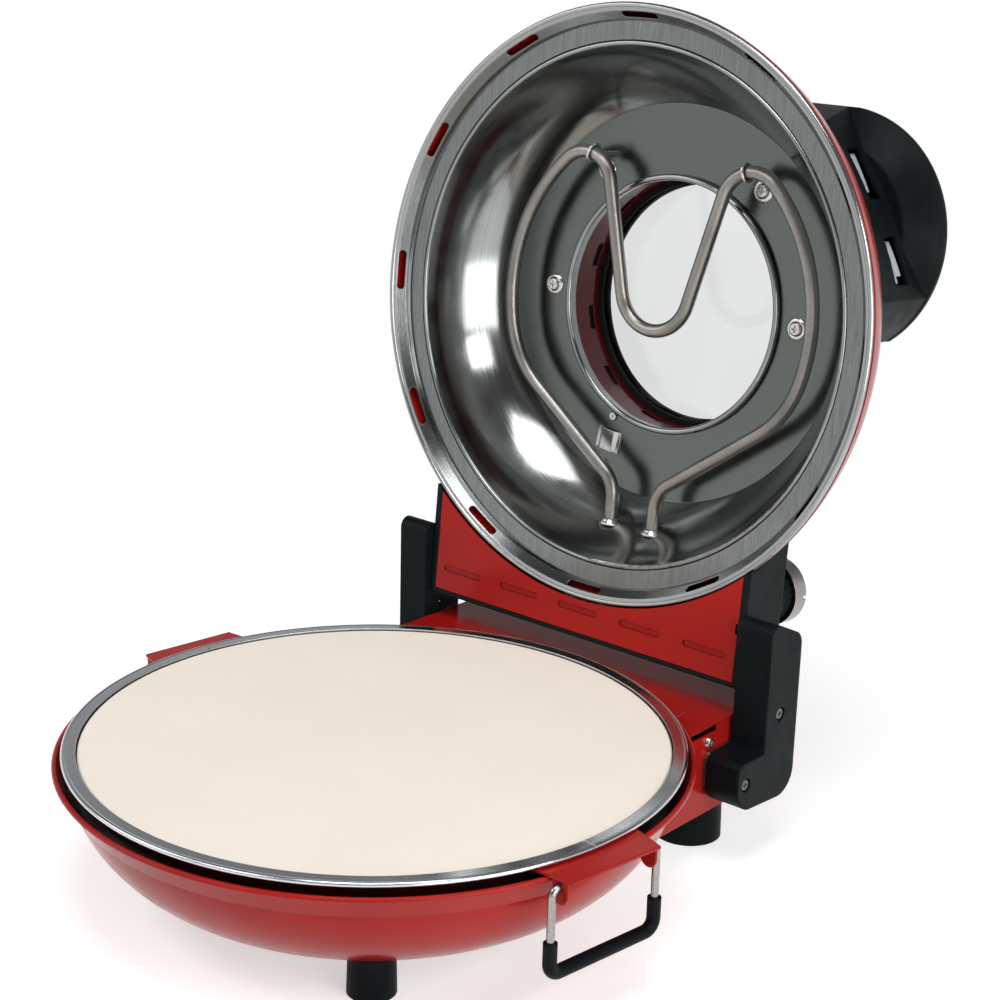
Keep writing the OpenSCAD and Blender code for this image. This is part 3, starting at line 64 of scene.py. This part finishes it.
class Tree:
    """A node tree with short helpers; most return the socket that the next step reads."""

    def __init__(self, tree):
        self.tree = tree

    def node(self, kind, **values):
        """A new node; each value goes to its setting, or to its input of that name."""
        new = self.tree.nodes.new(kind)
        for key, value in values.items():
            if hasattr(new, key):
                setattr(new, key, value)
            else:
                new.inputs[key].default_value = value
        return new

    def link(self, source, target):
        self.tree.links.new(source, target)

    def coords(self, inverse=None):
        """Object coordinates, or the same in the axes that the inverse leads back to."""
        place = self.node("ShaderNodeTexCoord").outputs["Object"]
        if inverse is None:
            return place
        location, rotation, _ = inverse.decompose()
        mapping = self.node("ShaderNodeMapping")
        mapping.inputs["Location"].default_value = location
        mapping.inputs["Rotation"].default_value = rotation.to_euler("XYZ")
        self.link(place, mapping.inputs["Vector"])
        return mapping.outputs["Vector"]

    def split(self, vector):
        """The X, Y and Z of a vector."""
        parts = self.node("ShaderNodeSeparateXYZ")
        self.link(vector, parts.inputs[0])
        return parts.outputs

    def radius(self, vector):
        """The distance from the Z axis."""
        x, y, _ = self.split(vector)
        x_squared = self.math("MULTIPLY", x, x)
        y_squared = self.math("MULTIPLY", y, y)
        return self.math("SQRT", self.math("ADD", x_squared, y_squared))

    def noise(self, vector, scale, detail=4.0, rough=0.5, stretch=None):
        if stretch is not None:
            mapping = self.node("ShaderNodeMapping")
            mapping.inputs["Scale"].default_value = stretch
            self.link(vector, mapping.inputs["Vector"])
            vector = mapping.outputs["Vector"]
        texture = self.node("ShaderNodeTexNoise", Scale=scale, Detail=detail, Roughness=rough)
        self.link(vector, texture.inputs["Vector"])
        return texture.outputs["Fac"]

    def line_noise(self, value, scale, detail=3.0):
        """Noise along one number, such as a radius."""
        texture = self.node("ShaderNodeTexNoise", noise_dimensions="1D", Scale=scale, Detail=detail)
        self.link(value, texture.inputs["W"])
        return texture.outputs["Fac"]

    def ramp(self, value, stops):
        """A colour ramp through stops of (position, colour or grey)."""
        new = self.node("ShaderNodeValToRGB")
        elements = new.color_ramp.elements
        while len(elements) < len(stops):
            elements.new(0.5)
        for element, (position, colour) in zip(elements, stops):
            element.position = position
            if isinstance(colour, (int, float)):
                colour = (colour, colour, colour)
            element.color = (*colour, 1)
        self.link(value, new.inputs["Fac"])
        return new.outputs["Color"]

    def remap(self, value, span, to=(0.0, 1.0)):
        """The value's place in the span, carried over to another span and held inside it."""
        new = self.node("ShaderNodeMapRange")
        for key, number in zip(("From Min", "From Max", "To Min", "To Max"), (*span, *to)):
            new.inputs[key].default_value = number
        self.link(value, new.inputs["Value"])
        return new.outputs["Result"]

    def math(self, operation, *values):
        new = self.node("ShaderNodeMath", operation=operation)
        for socket, value in zip(new.inputs, values):
            self.feed(socket, value)
        return new.outputs[0]

    def mix(self, share, colour, other):
        new = self.node("ShaderNodeMix", data_type="RGBA")
        for socket, value in ((new.inputs["Factor"], share), (new.inputs[6], colour), (new.inputs[7], other)):
            self.feed(socket, value)
        return new.outputs[2]

    def feed(self, socket, value):
        """Sets a socket to a colour or number, or links it."""
        if isinstance(value, tuple):
            socket.default_value = (*value, 1)
        elif isinstance(value, (int, float)):
            socket.default_value = value
        else:
            self.link(value, socket)

    def bump(self, height, strength, distance, under):
        """Bumps on top of the normal under them, or on the plain surface when that is None."""
        new = self.node("ShaderNodeBump", Strength=strength, Distance=distance)
        self.link(height, new.inputs["Height"])
        if under is not None:
            self.link(under, new.inputs["Normal"])
        return new.outputs["Normal"]

    def pointed(self, span, to=(0.0, 1.0)):
        return self.remap(self.node("ShaderNodeNewGeometry").outputs["Pointiness"], span, to)

    def edge_wear_and_highlight(self, amount, span=(0.52, 0.62)):
        """The amount on outer edges, 0 elsewhere: a lighter edge, partly wear and partly a painted highlight.
        """
        return self.math("MULTIPLY", self.pointed(span), amount)

    def painted_hollow_shade(self, amount):
        """The amount in hollows, where painted shade darkens the colour, 0 elsewhere."""
        return self.math("MULTIPLY", self.pointed((0.40, 0.48), (1.0, 0.0)), amount)

    def soft_edge(self, radius):
        """The surface's direction with its sharp edges rounded over."""
        return self.node("ShaderNodeBevel", samples=4, Radius=radius).outputs["Normal"]

    def rays(self, *kinds):
        """1 for rays of any of these kinds, 0 for the others."""
        path = self.node("ShaderNodeLightPath")
        found = path.outputs[kinds[0]]
        for kind in kinds[1:]:
            found = self.math("MAXIMUM", found, path.outputs[kind])
        return found


class Mat(Tree):
    """A material with a Principled shader."""

    def __init__(self, name):
        self.material = bpy.data.materials.new(name)
        self.material.use_nodes = True
        super().__init__(self.material.node_tree)
        self.shader = self.tree.nodes["Principled BSDF"]

    def out(self, colour, rough, normal=None, **fixed):
        """The finished material; a fixed value is named after its socket, with _ for a space."""
        self.feed(self.shader.inputs["Base Color"], colour)
        self.feed(self.shader.inputs["Roughness"], rough)
        if normal is not None:
            self.feed(self.shader.inputs["Normal"], normal)
        for key, value in fixed.items():
            self.shader.inputs[key.replace("_", " ")].default_value = value
        return self.material


def tint(colour, factor, lift=0.0):
    """The colour times a factor, and lifted by a little grey."""
    return tuple(c * factor + lift for c in colour)


# Materials
def enamel(name, deep, light, rough=0.20, soft=0.0012, level=0.20, hollow=0.0):
    """Enamel with specks and orange peel; hollow is the reach of the painted shade in pressed grooves."""
    m = Mat(name)
    place = m.coords()
    cloud = m.noise(place, scale=9, detail=3, rough=0.5)
    speck = m.noise(place, scale=900, detail=2, rough=0.6)
    colour = m.mix(m.remap(cloud, (0.3, 0.7)), deep, light)
    colour = m.mix(m.remap(speck, (0.64, 0.78), (0.0, 0.20)), colour, tint(deep, 0.55))
    # Lighter outer edges: partly wear, partly a painted highlight.
    colour = m.mix(m.edge_wear_and_highlight(0.20, (0.56, 0.70)), colour, tint(light, 1.4, 0.01))
    # Painted shade: the colour darkens in hollows.
    colour = m.mix(m.painted_hollow_shade(0.35), colour, tint(deep, 0.35))
    if hollow > 0:
        # Painted shade: the colour darkens where the AO node finds pressed grooves.
        shade = m.node("ShaderNodeAmbientOcclusion", samples=6, Distance=hollow).outputs["AO"]
        colour = m.mix(m.remap(shade, (0.45, 0.92), (0.85, 0.0)), colour, tint(deep, 0.22))
    wave = m.noise(place, scale=26, detail=2, rough=0.4)
    normal = m.bump(wave, 0.10, 0.002, m.soft_edge(soft))
    peel = m.noise(place, scale=420, detail=2, rough=0.45)
    normal = m.bump(peel, 0.07, 0.0004, normal)
    sheen = m.noise(place, scale=60, detail=4, rough=0.6)
    sheen = m.remap(sheen, (0.25, 0.75), (rough - 0.05, rough + 0.07))
    return m.out(colour, sheen, normal, Specular_IOR_Level=level)


def plastic(name, dark, light, rough=0.38, grain=1500, soft=0.0012):
    """Moulded plastic, rubber, sleeve or ceramic with a fine grain and a little dust."""
    m = Mat(name)
    place = m.coords()
    cloud = m.noise(place, scale=30, detail=4, rough=0.6)
    colour = m.mix(m.remap(cloud, (0.3, 0.7)), dark, light)
    dust = m.noise(place, scale=140, detail=5, rough=0.7)
    colour = m.mix(m.remap(dust, (0.62, 0.88), (0.0, 0.18)), colour, tint(light, 1.8, 0.004))
    # Lighter outer edges: partly wear, partly a painted highlight.
    colour = m.mix(m.edge_wear_and_highlight(0.25), colour, tint(light, 1.8, 0.006))
    pimple = m.noise(place, scale=grain, detail=2, rough=0.5)
    normal = m.bump(pimple, 0.30, 0.00010, m.soft_edge(soft))
    flow = m.noise(place, scale=70, detail=3, rough=0.6, stretch=(1, 6, 1))
    normal = m.bump(flow, 0.05, 0.0003, normal)
    sheen = m.noise(place, scale=90, detail=4, rough=0.65)
    sheen = m.remap(sheen, (0.3, 0.75), (rough - 0.07, rough + 0.12))
    return m.out(colour, sheen, normal, Specular_IOR_Level=0.06)


def metal(name, dark, light, rough=0.2, inverse=None, spun=0.0, fine=900.0, grain=None,
          bead_highlight=None, flat_reflection=None):
    """Metal with fine marks: rings about the given axes' Z (spun), or streaks along one axis (grain).

    bead and flat are each a height on that Z and a colour. The first paints a highlight in its
    colour on what lies below its height, and the second paints a reflection in its colour on what lies from
    its height up.
    """
    m = Mat(name)
    place = m.coords(inverse)
    blotch = m.noise(place, scale=18, detail=4, rough=0.6)
    if spun > 0:
        radius = m.radius(place)
        line = m.line_noise(radius, fine)
        broad = m.line_noise(radius, fine / 12)
        normal = m.bump(line, 0.10 * spun, 0.00010, m.soft_edge(0.0006))
        normal = m.bump(broad, 0.10 * spun, 0.0004, normal)
    elif grain is not None:
        line = m.noise(place, scale=fine, detail=3, rough=0.6, stretch=grain)
        normal = m.bump(line, 0.22, 0.00016, m.soft_edge(0.0006))
    else:
        line = m.noise(place, scale=fine, detail=2, rough=0.5)
        normal = m.bump(line, 0.08, 0.0002, m.soft_edge(0.0006))
    colour = m.mix(m.remap(line, (0.25, 0.75)), dark, light)
    colour = m.mix(m.remap(blotch, (0.40, 0.80), (0.0, 0.25)), colour, tint(dark, 0.82))
    # Painted shade: the colour darkens in hollows.
    colour = m.mix(m.painted_hollow_shade(0.4), colour, tint(dark, 0.4))
    # Painted highlight: the bead's colour below its height.
    if bead_highlight is not None:
        height, bead_highlight_colour = bead_highlight
        below = m.remap(m.split(place)[2], (height * 0.6, height), (1.0, 0.0))
        colour = m.mix(below, colour, bead_highlight_colour)
    sheen = m.noise(place, scale=70, detail=4, rough=0.65)
    sheen = m.remap(sheen, (0.25, 0.75), (rough - 0.03, rough + 0.05))
    # Painted reflection: the flat's colour, with rings, from its height up.
    if flat_reflection is not None:
        height, flat_reflection_colour = flat_reflection
        above = m.remap(m.split(place)[2], (height - 0.8 * MM, height))
        ringed = m.mix(m.remap(line, (0.25, 0.75)), flat_reflection_colour, tint(flat_reflection_colour, 1.15))
        colour = m.mix(above, colour, ringed)
        sheen = m.math("ADD", sheen, m.remap(above, (0, 1), (0.0, 0.07)))
    sheen = m.math("ADD", sheen, m.remap(line, (0.2, 0.8), (-0.015, 0.02)))
    return m.out(colour, sheen, normal, Metallic=1.0)


def stone():
    """Pale cordierite with sandy grit and pores."""
    m = Mat("cordierite")
    place = m.coords()
    cloud = m.noise(place, scale=14, detail=5, rough=0.6)
    grit = m.noise(place, scale=900, detail=3, rough=0.7)
    pores = m.node("ShaderNodeTexVoronoi", Scale=520)
    m.link(place, pores.inputs["Vector"])
    level = m.remap(pores.outputs["Distance"], (0.02, 0.16))
    colour = m.mix(m.remap(cloud, (0.3, 0.7)), (0.825, 0.745, 0.655), (0.860, 0.785, 0.700))
    colour = m.mix(m.remap(grit, (0.58, 0.80), (0.0, 0.35)), colour, (0.62, 0.55, 0.47))
    pitted = m.math("MULTIPLY", m.math("SUBTRACT", 1.0, level), 0.25)
    colour = m.mix(pitted, colour, (0.55, 0.48, 0.40))
    normal = m.bump(grit, 0.30, 0.0004, m.soft_edge(0.001))
    normal = m.bump(level, 0.25, 0.0005, normal)
    normal = m.bump(cloud, 0.10, 0.001, normal)
    return m.out(colour, m.remap(grit, (0.2, 0.8), (0.72, 0.95)), normal)


def element():
    """The heating tubes' sheath, tinted by heat."""
    m = Mat("element_steel")
    place = m.coords()
    heat = m.noise(place, scale=22, detail=3, rough=0.6)
    skin = m.noise(place, scale=420, detail=4, rough=0.65)
    tints = [(0.25, (0.17, 0.165, 0.15)), (0.5, (0.25, 0.24, 0.22)), (0.75, (0.32, 0.30, 0.275))]
    colour = m.ramp(heat, tints)
    colour = m.mix(m.remap(skin, (0.5, 0.8), (0.0, 0.35)), colour, (0.11, 0.10, 0.095))
    normal = m.bump(skin, 0.14, 0.0002, None)
    return m.out(colour, m.remap(skin, (0.2, 0.8), (0.26, 0.40)), normal, Metallic=1.0)


def glass():
    """The window's clear glass, slightly grey and smeared."""
    m = Mat("window_glass")
    place = m.coords()
    wave = m.noise(place, scale=16, detail=2, rough=0.5)
    smear = m.noise(place, scale=60, detail=4, rough=0.6, stretch=(1, 3, 1))
    colour = m.mix(m.remap(wave, (0.3, 0.7)), (0.74, 0.76, 0.755), (0.78, 0.80, 0.795))
    normal = m.bump(wave, 0.02, 0.0003, None)
    sheen = m.remap(smear, (0.45, 0.8), (0.0, 0.03))
    return m.out(colour, sheen, normal, Transmission_Weight=1.0, IOR=1.45)


RED_DEEP, RED_LIGHT = (0.270, 0.0060, 0.0040), (0.335, 0.0090, 0.0060)
STREAKS_ALONG_Y = (1.0, 0.04, 1.0)
BEAD_TOP = 0.0022
PLATE_START = 0.0606

RED = enamel("red_enamel", RED_DEEP, RED_LIGHT, level=0.16)
RED_PRESSED = enamel("red_enamel_pressed", RED_DEEP, RED_LIGHT, rough=0.14, soft=0.0003, level=0.14,
                     hollow=0.004)
DARK_RED = enamel("dark_red_enamel", (0.20, 0.0050, 0.0040), (0.26, 0.0075, 0.0055), rough=0.09,
                  soft=0.0008, level=0.22)
BLACK = plastic("black_plastic", (0.0022, 0.0042, 0.0048), (0.0050, 0.0078, 0.0086), soft=0.0022)
FOOT = plastic("foot_plastic", (0.0020, 0.0035, 0.0042), (0.0045, 0.0065, 0.0075), rough=0.45, grain=1100)
# The window neck gets a much darker copy of the red enamel: painted shade inside the window opening.
NECK_PAINTED_SHADE = enamel("neck_enamel_painted_shade", (0.050, 0.0035, 0.0035), (0.085, 0.0050, 0.0045), rough=0.14)
TRIM_TRAY = metal("bright_trim_tray", (0.56, 0.59, 0.61), (0.68, 0.71, 0.73), rough=0.15,
                  inverse=TRAY_INVERSE, spun=1.0, fine=1400)
# The rim's rolled bead gets a lighter colour of the same steel: a painted highlight.
TRIM_LID = metal("bright_trim_lid", (0.14, 0.15, 0.15), (0.24, 0.25, 0.25), rough=0.17,
                 inverse=LID_INVERSE, fine=1500, grain=STREAKS_ALONG_Y, bead_highlight=(BEAD_TOP, (0.34, 0.35, 0.35)))
RING_LID = metal("bright_ring_lid", (0.20, 0.21, 0.21), (0.32, 0.33, 0.33), rough=0.10,
                 inverse=LID_INVERSE, spun=0.5, fine=1400)
CHROME = metal("bright_wire", (0.24, 0.235, 0.225), (0.38, 0.375, 0.36), rough=0.20)
# The reflector's flat plate gets a darker copy of the same steel: a painted dark reflection.
REFLECTOR = metal("reflector_steel", (0.235, 0.250, 0.243), (0.300, 0.316, 0.308), rough=0.13,
                  inverse=LID_INVERSE, spun=0.25, fine=1100, flat_reflection=(PLATE_START, (0.115, 0.128, 0.121)))
LINER = metal("liner_steel", (0.10, 0.105, 0.11), (0.16, 0.165, 0.17), rough=0.22,
              inverse=BASE_INVERSE, spun=1.0, fine=900)
PLATED = metal("plated_steel", (0.42, 0.42, 0.41), (0.56, 0.56, 0.55), rough=0.22)
# A darker copy of the screw steel for the cover screws, which sit deep: painted shade.
SHADED_SCREW = metal("screw_steel_painted_shade", (0.10, 0.10, 0.10), (0.20, 0.20, 0.20), rough=0.25)
SCREW = metal("screw_steel", (0.52, 0.51, 0.48), (0.68, 0.67, 0.64), rough=0.18)
STONE = stone()
ELEMENT = element()
GLASS = glass()
GASKET = plastic("gasket_rubber", (0.004, 0.004, 0.004), (0.010, 0.010, 0.010), rough=0.50, grain=900)
WIRE = plastic("wire_insulation", (0.45, 0.43, 0.38), (0.60, 0.58, 0.52), rough=0.7, grain=700)
CERAMIC = plastic("white_ceramic", (0.62, 0.60, 0.54), (0.72, 0.70, 0.64), rough=0.6, grain=600)
SLAT = plastic("grey_rib_plastic", (0.28, 0.30, 0.32), (0.36, 0.38, 0.40), rough=0.45, grain=1200)

# The look of each of the record's material slots, and of the nodes that have one of their own
SLOT_LOOK = {
    "red_enamel": RED, "dark_red_enamel": DARK_RED, "black_plastic": BLACK, "foot_plastic": FOOT,
    "cordierite_stone": STONE, "bright_trim": CHROME, "reflector_steel": REFLECTOR,
    "element_steel": ELEMENT, "plated_steel": PLATED, "screw_steel": SCREW, "window_glass": GLASS,
    "gasket_rubber": GASKET, "wire_insulation": WIRE, "white_ceramic": CERAMIC,
}
NODE_LOOK = {
    "stone_ring_front": TRIM_TRAY, "stone_ring_rear": TRIM_TRAY, "lid_rim": TRIM_LID,
    "window_ring": RING_LID, "window_neck": NECK_PAINTED_SHADE, "lid_panel": RED_PRESSED, "cover_screws": SHADED_SCREW,
    "bowl_liner": LINER, "stone_tray": LINER,
}
slot_of = {subpart["node"]: subpart["material_slot"] for subpart in frame["record"]["subparts"]}
for name, obj in nodes.items():
    obj.data.materials.clear()
    obj.data.materials.append(NODE_LOOK.get(name, SLOT_LOOK[slot_of[name]]))


def soften(obj, width, segments, angle=38):
    """Rounds a CAD node's edges sharper than the angle as drawn; its own mesh stays as packed."""
    weld = obj.modifiers.new("weld", "WELD")
    weld.merge_threshold = 1e-5
    bevel = obj.modifiers.new("soft", "BEVEL")
    bevel.width = width
    bevel.segments = segments
    bevel.limit_method = "ANGLE"
    bevel.angle_limit = math.radians(angle)
    bevel.use_clamp_overlap = True
    even = obj.modifiers.new("even", "WEIGHTED_NORMAL")
    even.keep_sharp = False
    even.weight = 60


COVER_ROUND = 0.0042
for name in ("hinge_cover_left", "hinge_cover_right"):
    soften(nodes[name], COVER_ROUND, 5)


# Pieces built in mesh code
def make(name, verts, faces, material, body):
    """A smooth-shaded mesh piece from points in metres, riding on a CAD body."""
    mesh = bpy.data.meshes.new(name)
    mesh.from_pydata([tuple(vert) for vert in verts], [], faces)
    work = bmesh.new()
    work.from_mesh(mesh)
    bmesh.ops.recalc_face_normals(work, faces=work.faces)
    work.to_mesh(mesh)
    work.free()
    mesh.shade_smooth()
    piece = bpy.data.objects.new(name, mesh)
    bpy.context.scene.collection.objects.link(piece)
    mesh.materials.append(material)
    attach(piece, body)
    return piece


def revolve(name, profile, material, body, place, steps, wave=None):
    """A closed profile of (radius, height) in mm, turned about the place's Z.

    wave(angle, radius) is the factor that scales a radius at that angle.
    """
    verts = []
    faces = []
    count = len(profile)
    for step in range(steps):
        angle = 2 * math.pi * step / steps
        for radius, height in profile:
            reach = radius * (1.0 if wave is None else wave(angle, radius)) * MM
            verts.append(place @ Vector((reach * math.cos(angle), reach * math.sin(angle), height * MM)))
    for step in range(steps):
        here = step * count
        there = ((step + 1) % steps) * count
        for i in range(count):
            j = (i + 1) % count
            faces.append((here + i, here + j, there + j, there + i))
    return make(name, verts, faces, material, body)


def lid_place(x, u, depth):
    """A place in the lid, in mm: x to the right, u up from the centre, Z out of the lid's mouth."""
    return LID @ Matrix.Translation((x * MM, -u * MM, depth * MM)) @ Matrix.Rotation(math.pi, 4, "X")


def rounded(value, width):
    """A sine or cosine pushed towards the side of a rounded oblong of that width."""
    return math.copysign(abs(value) ** 0.35, value) * width / 2


def strip(name, path, wide, thick, material, body):
    """A closed strip of rounded oblong section along a path of (centre, side, out) frames."""
    sides = 12
    verts = []
    faces = []
    for centre, side, out in path:
        for k in range(sides):
            angle = 2 * math.pi * (k + 0.5) / sides
            across = rounded(math.cos(angle), wide)
            proud = rounded(math.sin(angle), thick)
            verts.append(centre + side * across + out * proud)
    last = (len(path) - 1) * sides
    for start in range(0, last, sides):
        for k in range(sides):
            j = (k + 1) % sides
            faces.append((start + k, start + j, start + sides + j, start + sides + k))
    faces.append(tuple(range(sides)))
    faces.append(tuple(range(last, last + sides)))
    return make(name, verts, faces, material, body)


# Dished washers around the heads of the four plate screws
PLATE_DEPTH = 60.8
SCREW_PLACES = [(87.3, 0), (-87.3, 0), (55.4, 73), (-55.4, 73)]
WASHER = [(4.2, 0.02), (4.2, 1.2), (4.8, 1.4), (5.7, 1.0), (6.4, 0.4), (6.6, 0.02)]
for number, (x, u) in enumerate(SCREW_PLACES, 1):
    place = lid_place(x, u, PLATE_DEPTH)
    revolve("plate_washer_%d" % number, WASHER, SCREW, "lid", place, 64)

# Flared collars where the upper element's legs pass the reflector
COLLAR = [(4.2, -1.0), (4.2, 2.6), (4.5, 2.8), (4.9, 2.0), (5.6, 1.0), (6.6, 0.2), (7.0, -0.6), (6.4, -1.0)]
LEG_X, COLLAR_Y, LEG_DEPTH = 15.5, 132.5, 44.0
for side, side_name in ((-1, "left"), (1, "right")):
    shift = Matrix.Translation((side * LEG_X * MM, COLLAR_Y * MM, LEG_DEPTH * MM))
    place = LID @ shift @ Matrix.Rotation(math.pi / 2, 4, "X")
    revolve("leg_collar_" + side_name, COLLAR, PLATED, "lid", place, 64)

# Grey slats behind the handle's vents, two in each: each vent's middle, turn and length
VENTS = [(96.5, -86.5, 57.8, 32), (124, -42, 59.7, 28)]
VENT_HEIGHT = 14.0
CREASE_DEPTH = 104.0
HANDLE_WALL = 3.0
SLAT_RISE = 3.0
SLAT_LEAN = 2.2
SLAT_INSET = 2.6
SLAT_BOW = 0.7
SLAT_SHARE = 0.74
SLAT_WIDE, SLAT_THICK = 4.8, 1.4
SLAT_STEPS = 12
VENT_DEPTH = CREASE_DEPTH - HANDLE_WALL - VENT_HEIGHT / 2
LID_TURN = LID.to_3x3()


def slat_path(side, vent, half):
    """The frames along one slat; side is -1 or 1 for left or right, half the same for low or high."""
    x, y, turn, length = vent
    angle = math.radians(turn)
    along = Vector((math.cos(angle) * side, math.sin(angle), 0))
    inward = Vector((-math.sin(angle) * side, math.cos(angle), 0))
    middle = Vector((x * side, y, VENT_DEPTH + SLAT_RISE * half))
    middle = middle + along * (-SLAT_LEAN * half) + inward * SLAT_INSET
    path = []
    for step in range(SLAT_STEPS + 1):
        reach = (step / SLAT_STEPS - 0.5) * length * SLAT_SHARE
        bow = SLAT_BOW * (1 - (2 * reach / length) ** 2)
        centre = LID @ ((middle + along * reach - inward * bow) * MM)
        path.append((centre, LID_TURN @ Vector((0, 0, MM)), LID_TURN @ inward * MM))
    return path


for side, side_name in ((-1, "left"), (1, "right")):
    number = 0
    for vent in VENTS:
        for half in (-1, 1):
            number += 1
            strip("handle_slat_%s_%d" % (side_name, number), slat_path(side, vent, half),
                  SLAT_WIDE, SLAT_THICK, SLAT, "lid")

# Fluted knob with a domed face, bored for its shaft
KNOB_X, KNOB_Y, KNOB_LOW = 94.0, 150.0, 46.3
KNOB_HEIGHT, KNOB_R = 17.0, 17.0
SHAFT_R, BORE_DEPTH = 3.2, 12
FLUTES = 24
FLUTE_DEPTH = 0.028
FLUTE_START = 15.5
KNOB = [
    (SHAFT_R, 0), (SHAFT_R, BORE_DEPTH), (0.02, BORE_DEPTH), (0.02, KNOB_HEIGHT),
    (8, KNOB_HEIGHT - 0.1), (12, KNOB_HEIGHT - 0.4), (14.6, KNOB_HEIGHT - 1.2),
    (16.2, KNOB_HEIGHT - 2.6), (KNOB_R, KNOB_HEIGHT - 4.4), (KNOB_R, 10), (KNOB_R, 5),
    (KNOB_R - 0.1, 1.4), (KNOB_R - 0.9, 0.3), (KNOB_R - 2, 0),
]


def flute(angle, radius):
    """The factor on the knob's radius: shallow flutes all round its side, none on its face."""
    if radius < FLUTE_START:
        return 1.0
    return 1.0 - FLUTE_DEPTH * (0.5 + 0.5 * math.cos(FLUTES * angle)) ** 2


knob_place = LID @ Matrix.Translation((KNOB_X * MM, KNOB_Y * MM, KNOB_LOW * MM))
grip = revolve("knob_fluted", KNOB, BLACK, "knob", knob_place, 240, flute)
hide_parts("knob_body")

# Floor: it takes the object's shadow near it, and shows plain white farther out
FLOOR_HALF = 60.0
NEAR_R, FAR_R = 0.45, 1.4
NEAR_GLOW, FAR_GLOW = 0.52, 1.0
corners = [(-FLOOR_HALF, -FLOOR_HALF, 0), (FLOOR_HALF, -FLOOR_HALF, 0),
           (FLOOR_HALF, FLOOR_HALF, 0), (-FLOOR_HALF, FLOOR_HALF, 0)]
floor_mesh = bpy.data.meshes.new("floor")
floor_mesh.from_pydata(corners, [], [(0, 1, 2, 3)])
floor = bpy.data.objects.new("floor", floor_mesh)
bpy.context.scene.collection.objects.link(floor)

ground = Mat("floor")
ground.out((0.80, 0.80, 0.80), 0.9, Specular_IOR_Level=0.1)
far = ground.remap(ground.radius(ground.coords()), (NEAR_R, FAR_R))
show = ground.rays("Is Camera Ray", "Is Glossy Ray", "Is Transmission Ray")
glow = ground.node("ShaderNodeEmission")
glow_level = ground.math("MULTIPLY", show, ground.remap(far, (0, 1), (NEAR_GLOW, FAR_GLOW)))
ground.link(glow_level, glow.inputs["Strength"])
bare = ground.node("ShaderNodeMixShader")
ground.link(ground.math("MULTIPLY", show, far), bare.inputs[0])
ground.link(ground.shader.outputs[0], bare.inputs[1])
black = ground.node("ShaderNodeEmission", Strength=0.0)
ground.link(black.outputs[0], bare.inputs[2])
total = ground.node("ShaderNodeAddShader")
ground.link(bare.outputs[0], total.inputs[0])
ground.link(glow.outputs[0], total.inputs[1])
ground.link(total.outputs[0], ground.tree.nodes["Material Output"].inputs[0])
floor.data.materials.append(ground.material)

# World: white to the camera and through glass, and a room bright low down and dim above elsewhere
world = bpy.data.worlds.new("world")
bpy.context.scene.world = world
world.use_nodes = True
sky = Tree(world.node_tree)
upward = sky.split(sky.node("ShaderNodeTexCoord").outputs["Generated"])[2]
room = sky.ramp(sky.remap(upward, (-1, 1)), [(0.55, 1.0), (0.66, 0.48), (0.77, 0.12), (1.0, 0.15)])
plain = sky.rays("Is Camera Ray", "Is Transmission Ray")
background = sky.tree.nodes["Background"]
sky.link(sky.mix(plain, room, (1.0, 1.0, 1.0)), background.inputs["Color"])
background.inputs["Strength"].default_value = 1.0


def softbox(name, place, target, size, power):
    """A rectangular light that faces its target and that the camera doesn't see."""
    light = bpy.data.lights.new(name, "AREA")
    light.shape = "RECTANGLE"
    light.size, light.size_y = size
    light.energy = power
    box = bpy.data.objects.new(name, light)
    bpy.context.scene.collection.objects.link(box)
    box.location = place
    box.rotation_euler = (Vector(target) - Vector(place)).to_track_quat("-Z", "Y").to_euler()
    box.visible_camera = False


softbox("top", place=(0.30, -0.38, 1.75), target=(0, 0, 0.1), size=(0.9, 0.8), power=13)
softbox("right_high", place=(1.40, -0.05, 0.98), target=(0, 0.1, 0.25), size=(0.9, 0.36), power=7)
softbox("right_low", place=(1.15, -0.32, 0.34), target=(0, 0.1, 0.25), size=(0.8, 0.62), power=6)
softbox("left", place=(-1.15, -0.90, 1.20), target=(0, 0, 0.2), size=(1.0, 1.0), power=7)
softbox("front", place=(-0.35, -1.25, 1.50), target=(0, 0, 0.15), size=(0.6, 0.5), power=5)

# Camera, as fitted to the photograph
YAW, PITCH, ROLL = (math.radians(angle) for angle in (40.304, 17.298, 1.514))
CAMERA_PLACE = (0.672677, -0.698322 + SHIFT_Y, 0.518492)
level_right = Vector((math.cos(YAW), math.sin(YAW), 0))
forward = Vector((-math.sin(YAW) * math.cos(PITCH), math.cos(YAW) * math.cos(PITCH), -math.sin(PITCH)))
level_up = level_right.cross(forward)
right = level_right * math.cos(ROLL) + level_up * math.sin(ROLL)
up = -level_right * math.sin(ROLL) + level_up * math.cos(ROLL)
camera_data = bpy.data.cameras.new("camera")
camera_data.lens = 72.0
camera_data.sensor_width = 36.0
camera = bpy.data.objects.new("camera", camera_data)
bpy.context.scene.collection.objects.link(camera)
turned = Matrix((right, up, -forward)).transposed().to_4x4()
camera.matrix_world = Matrix.Translation(CAMERA_PLACE) @ turned
bpy.context.scene.camera = camera
bpy.context.scene.view_settings.view_transform = "Standard"
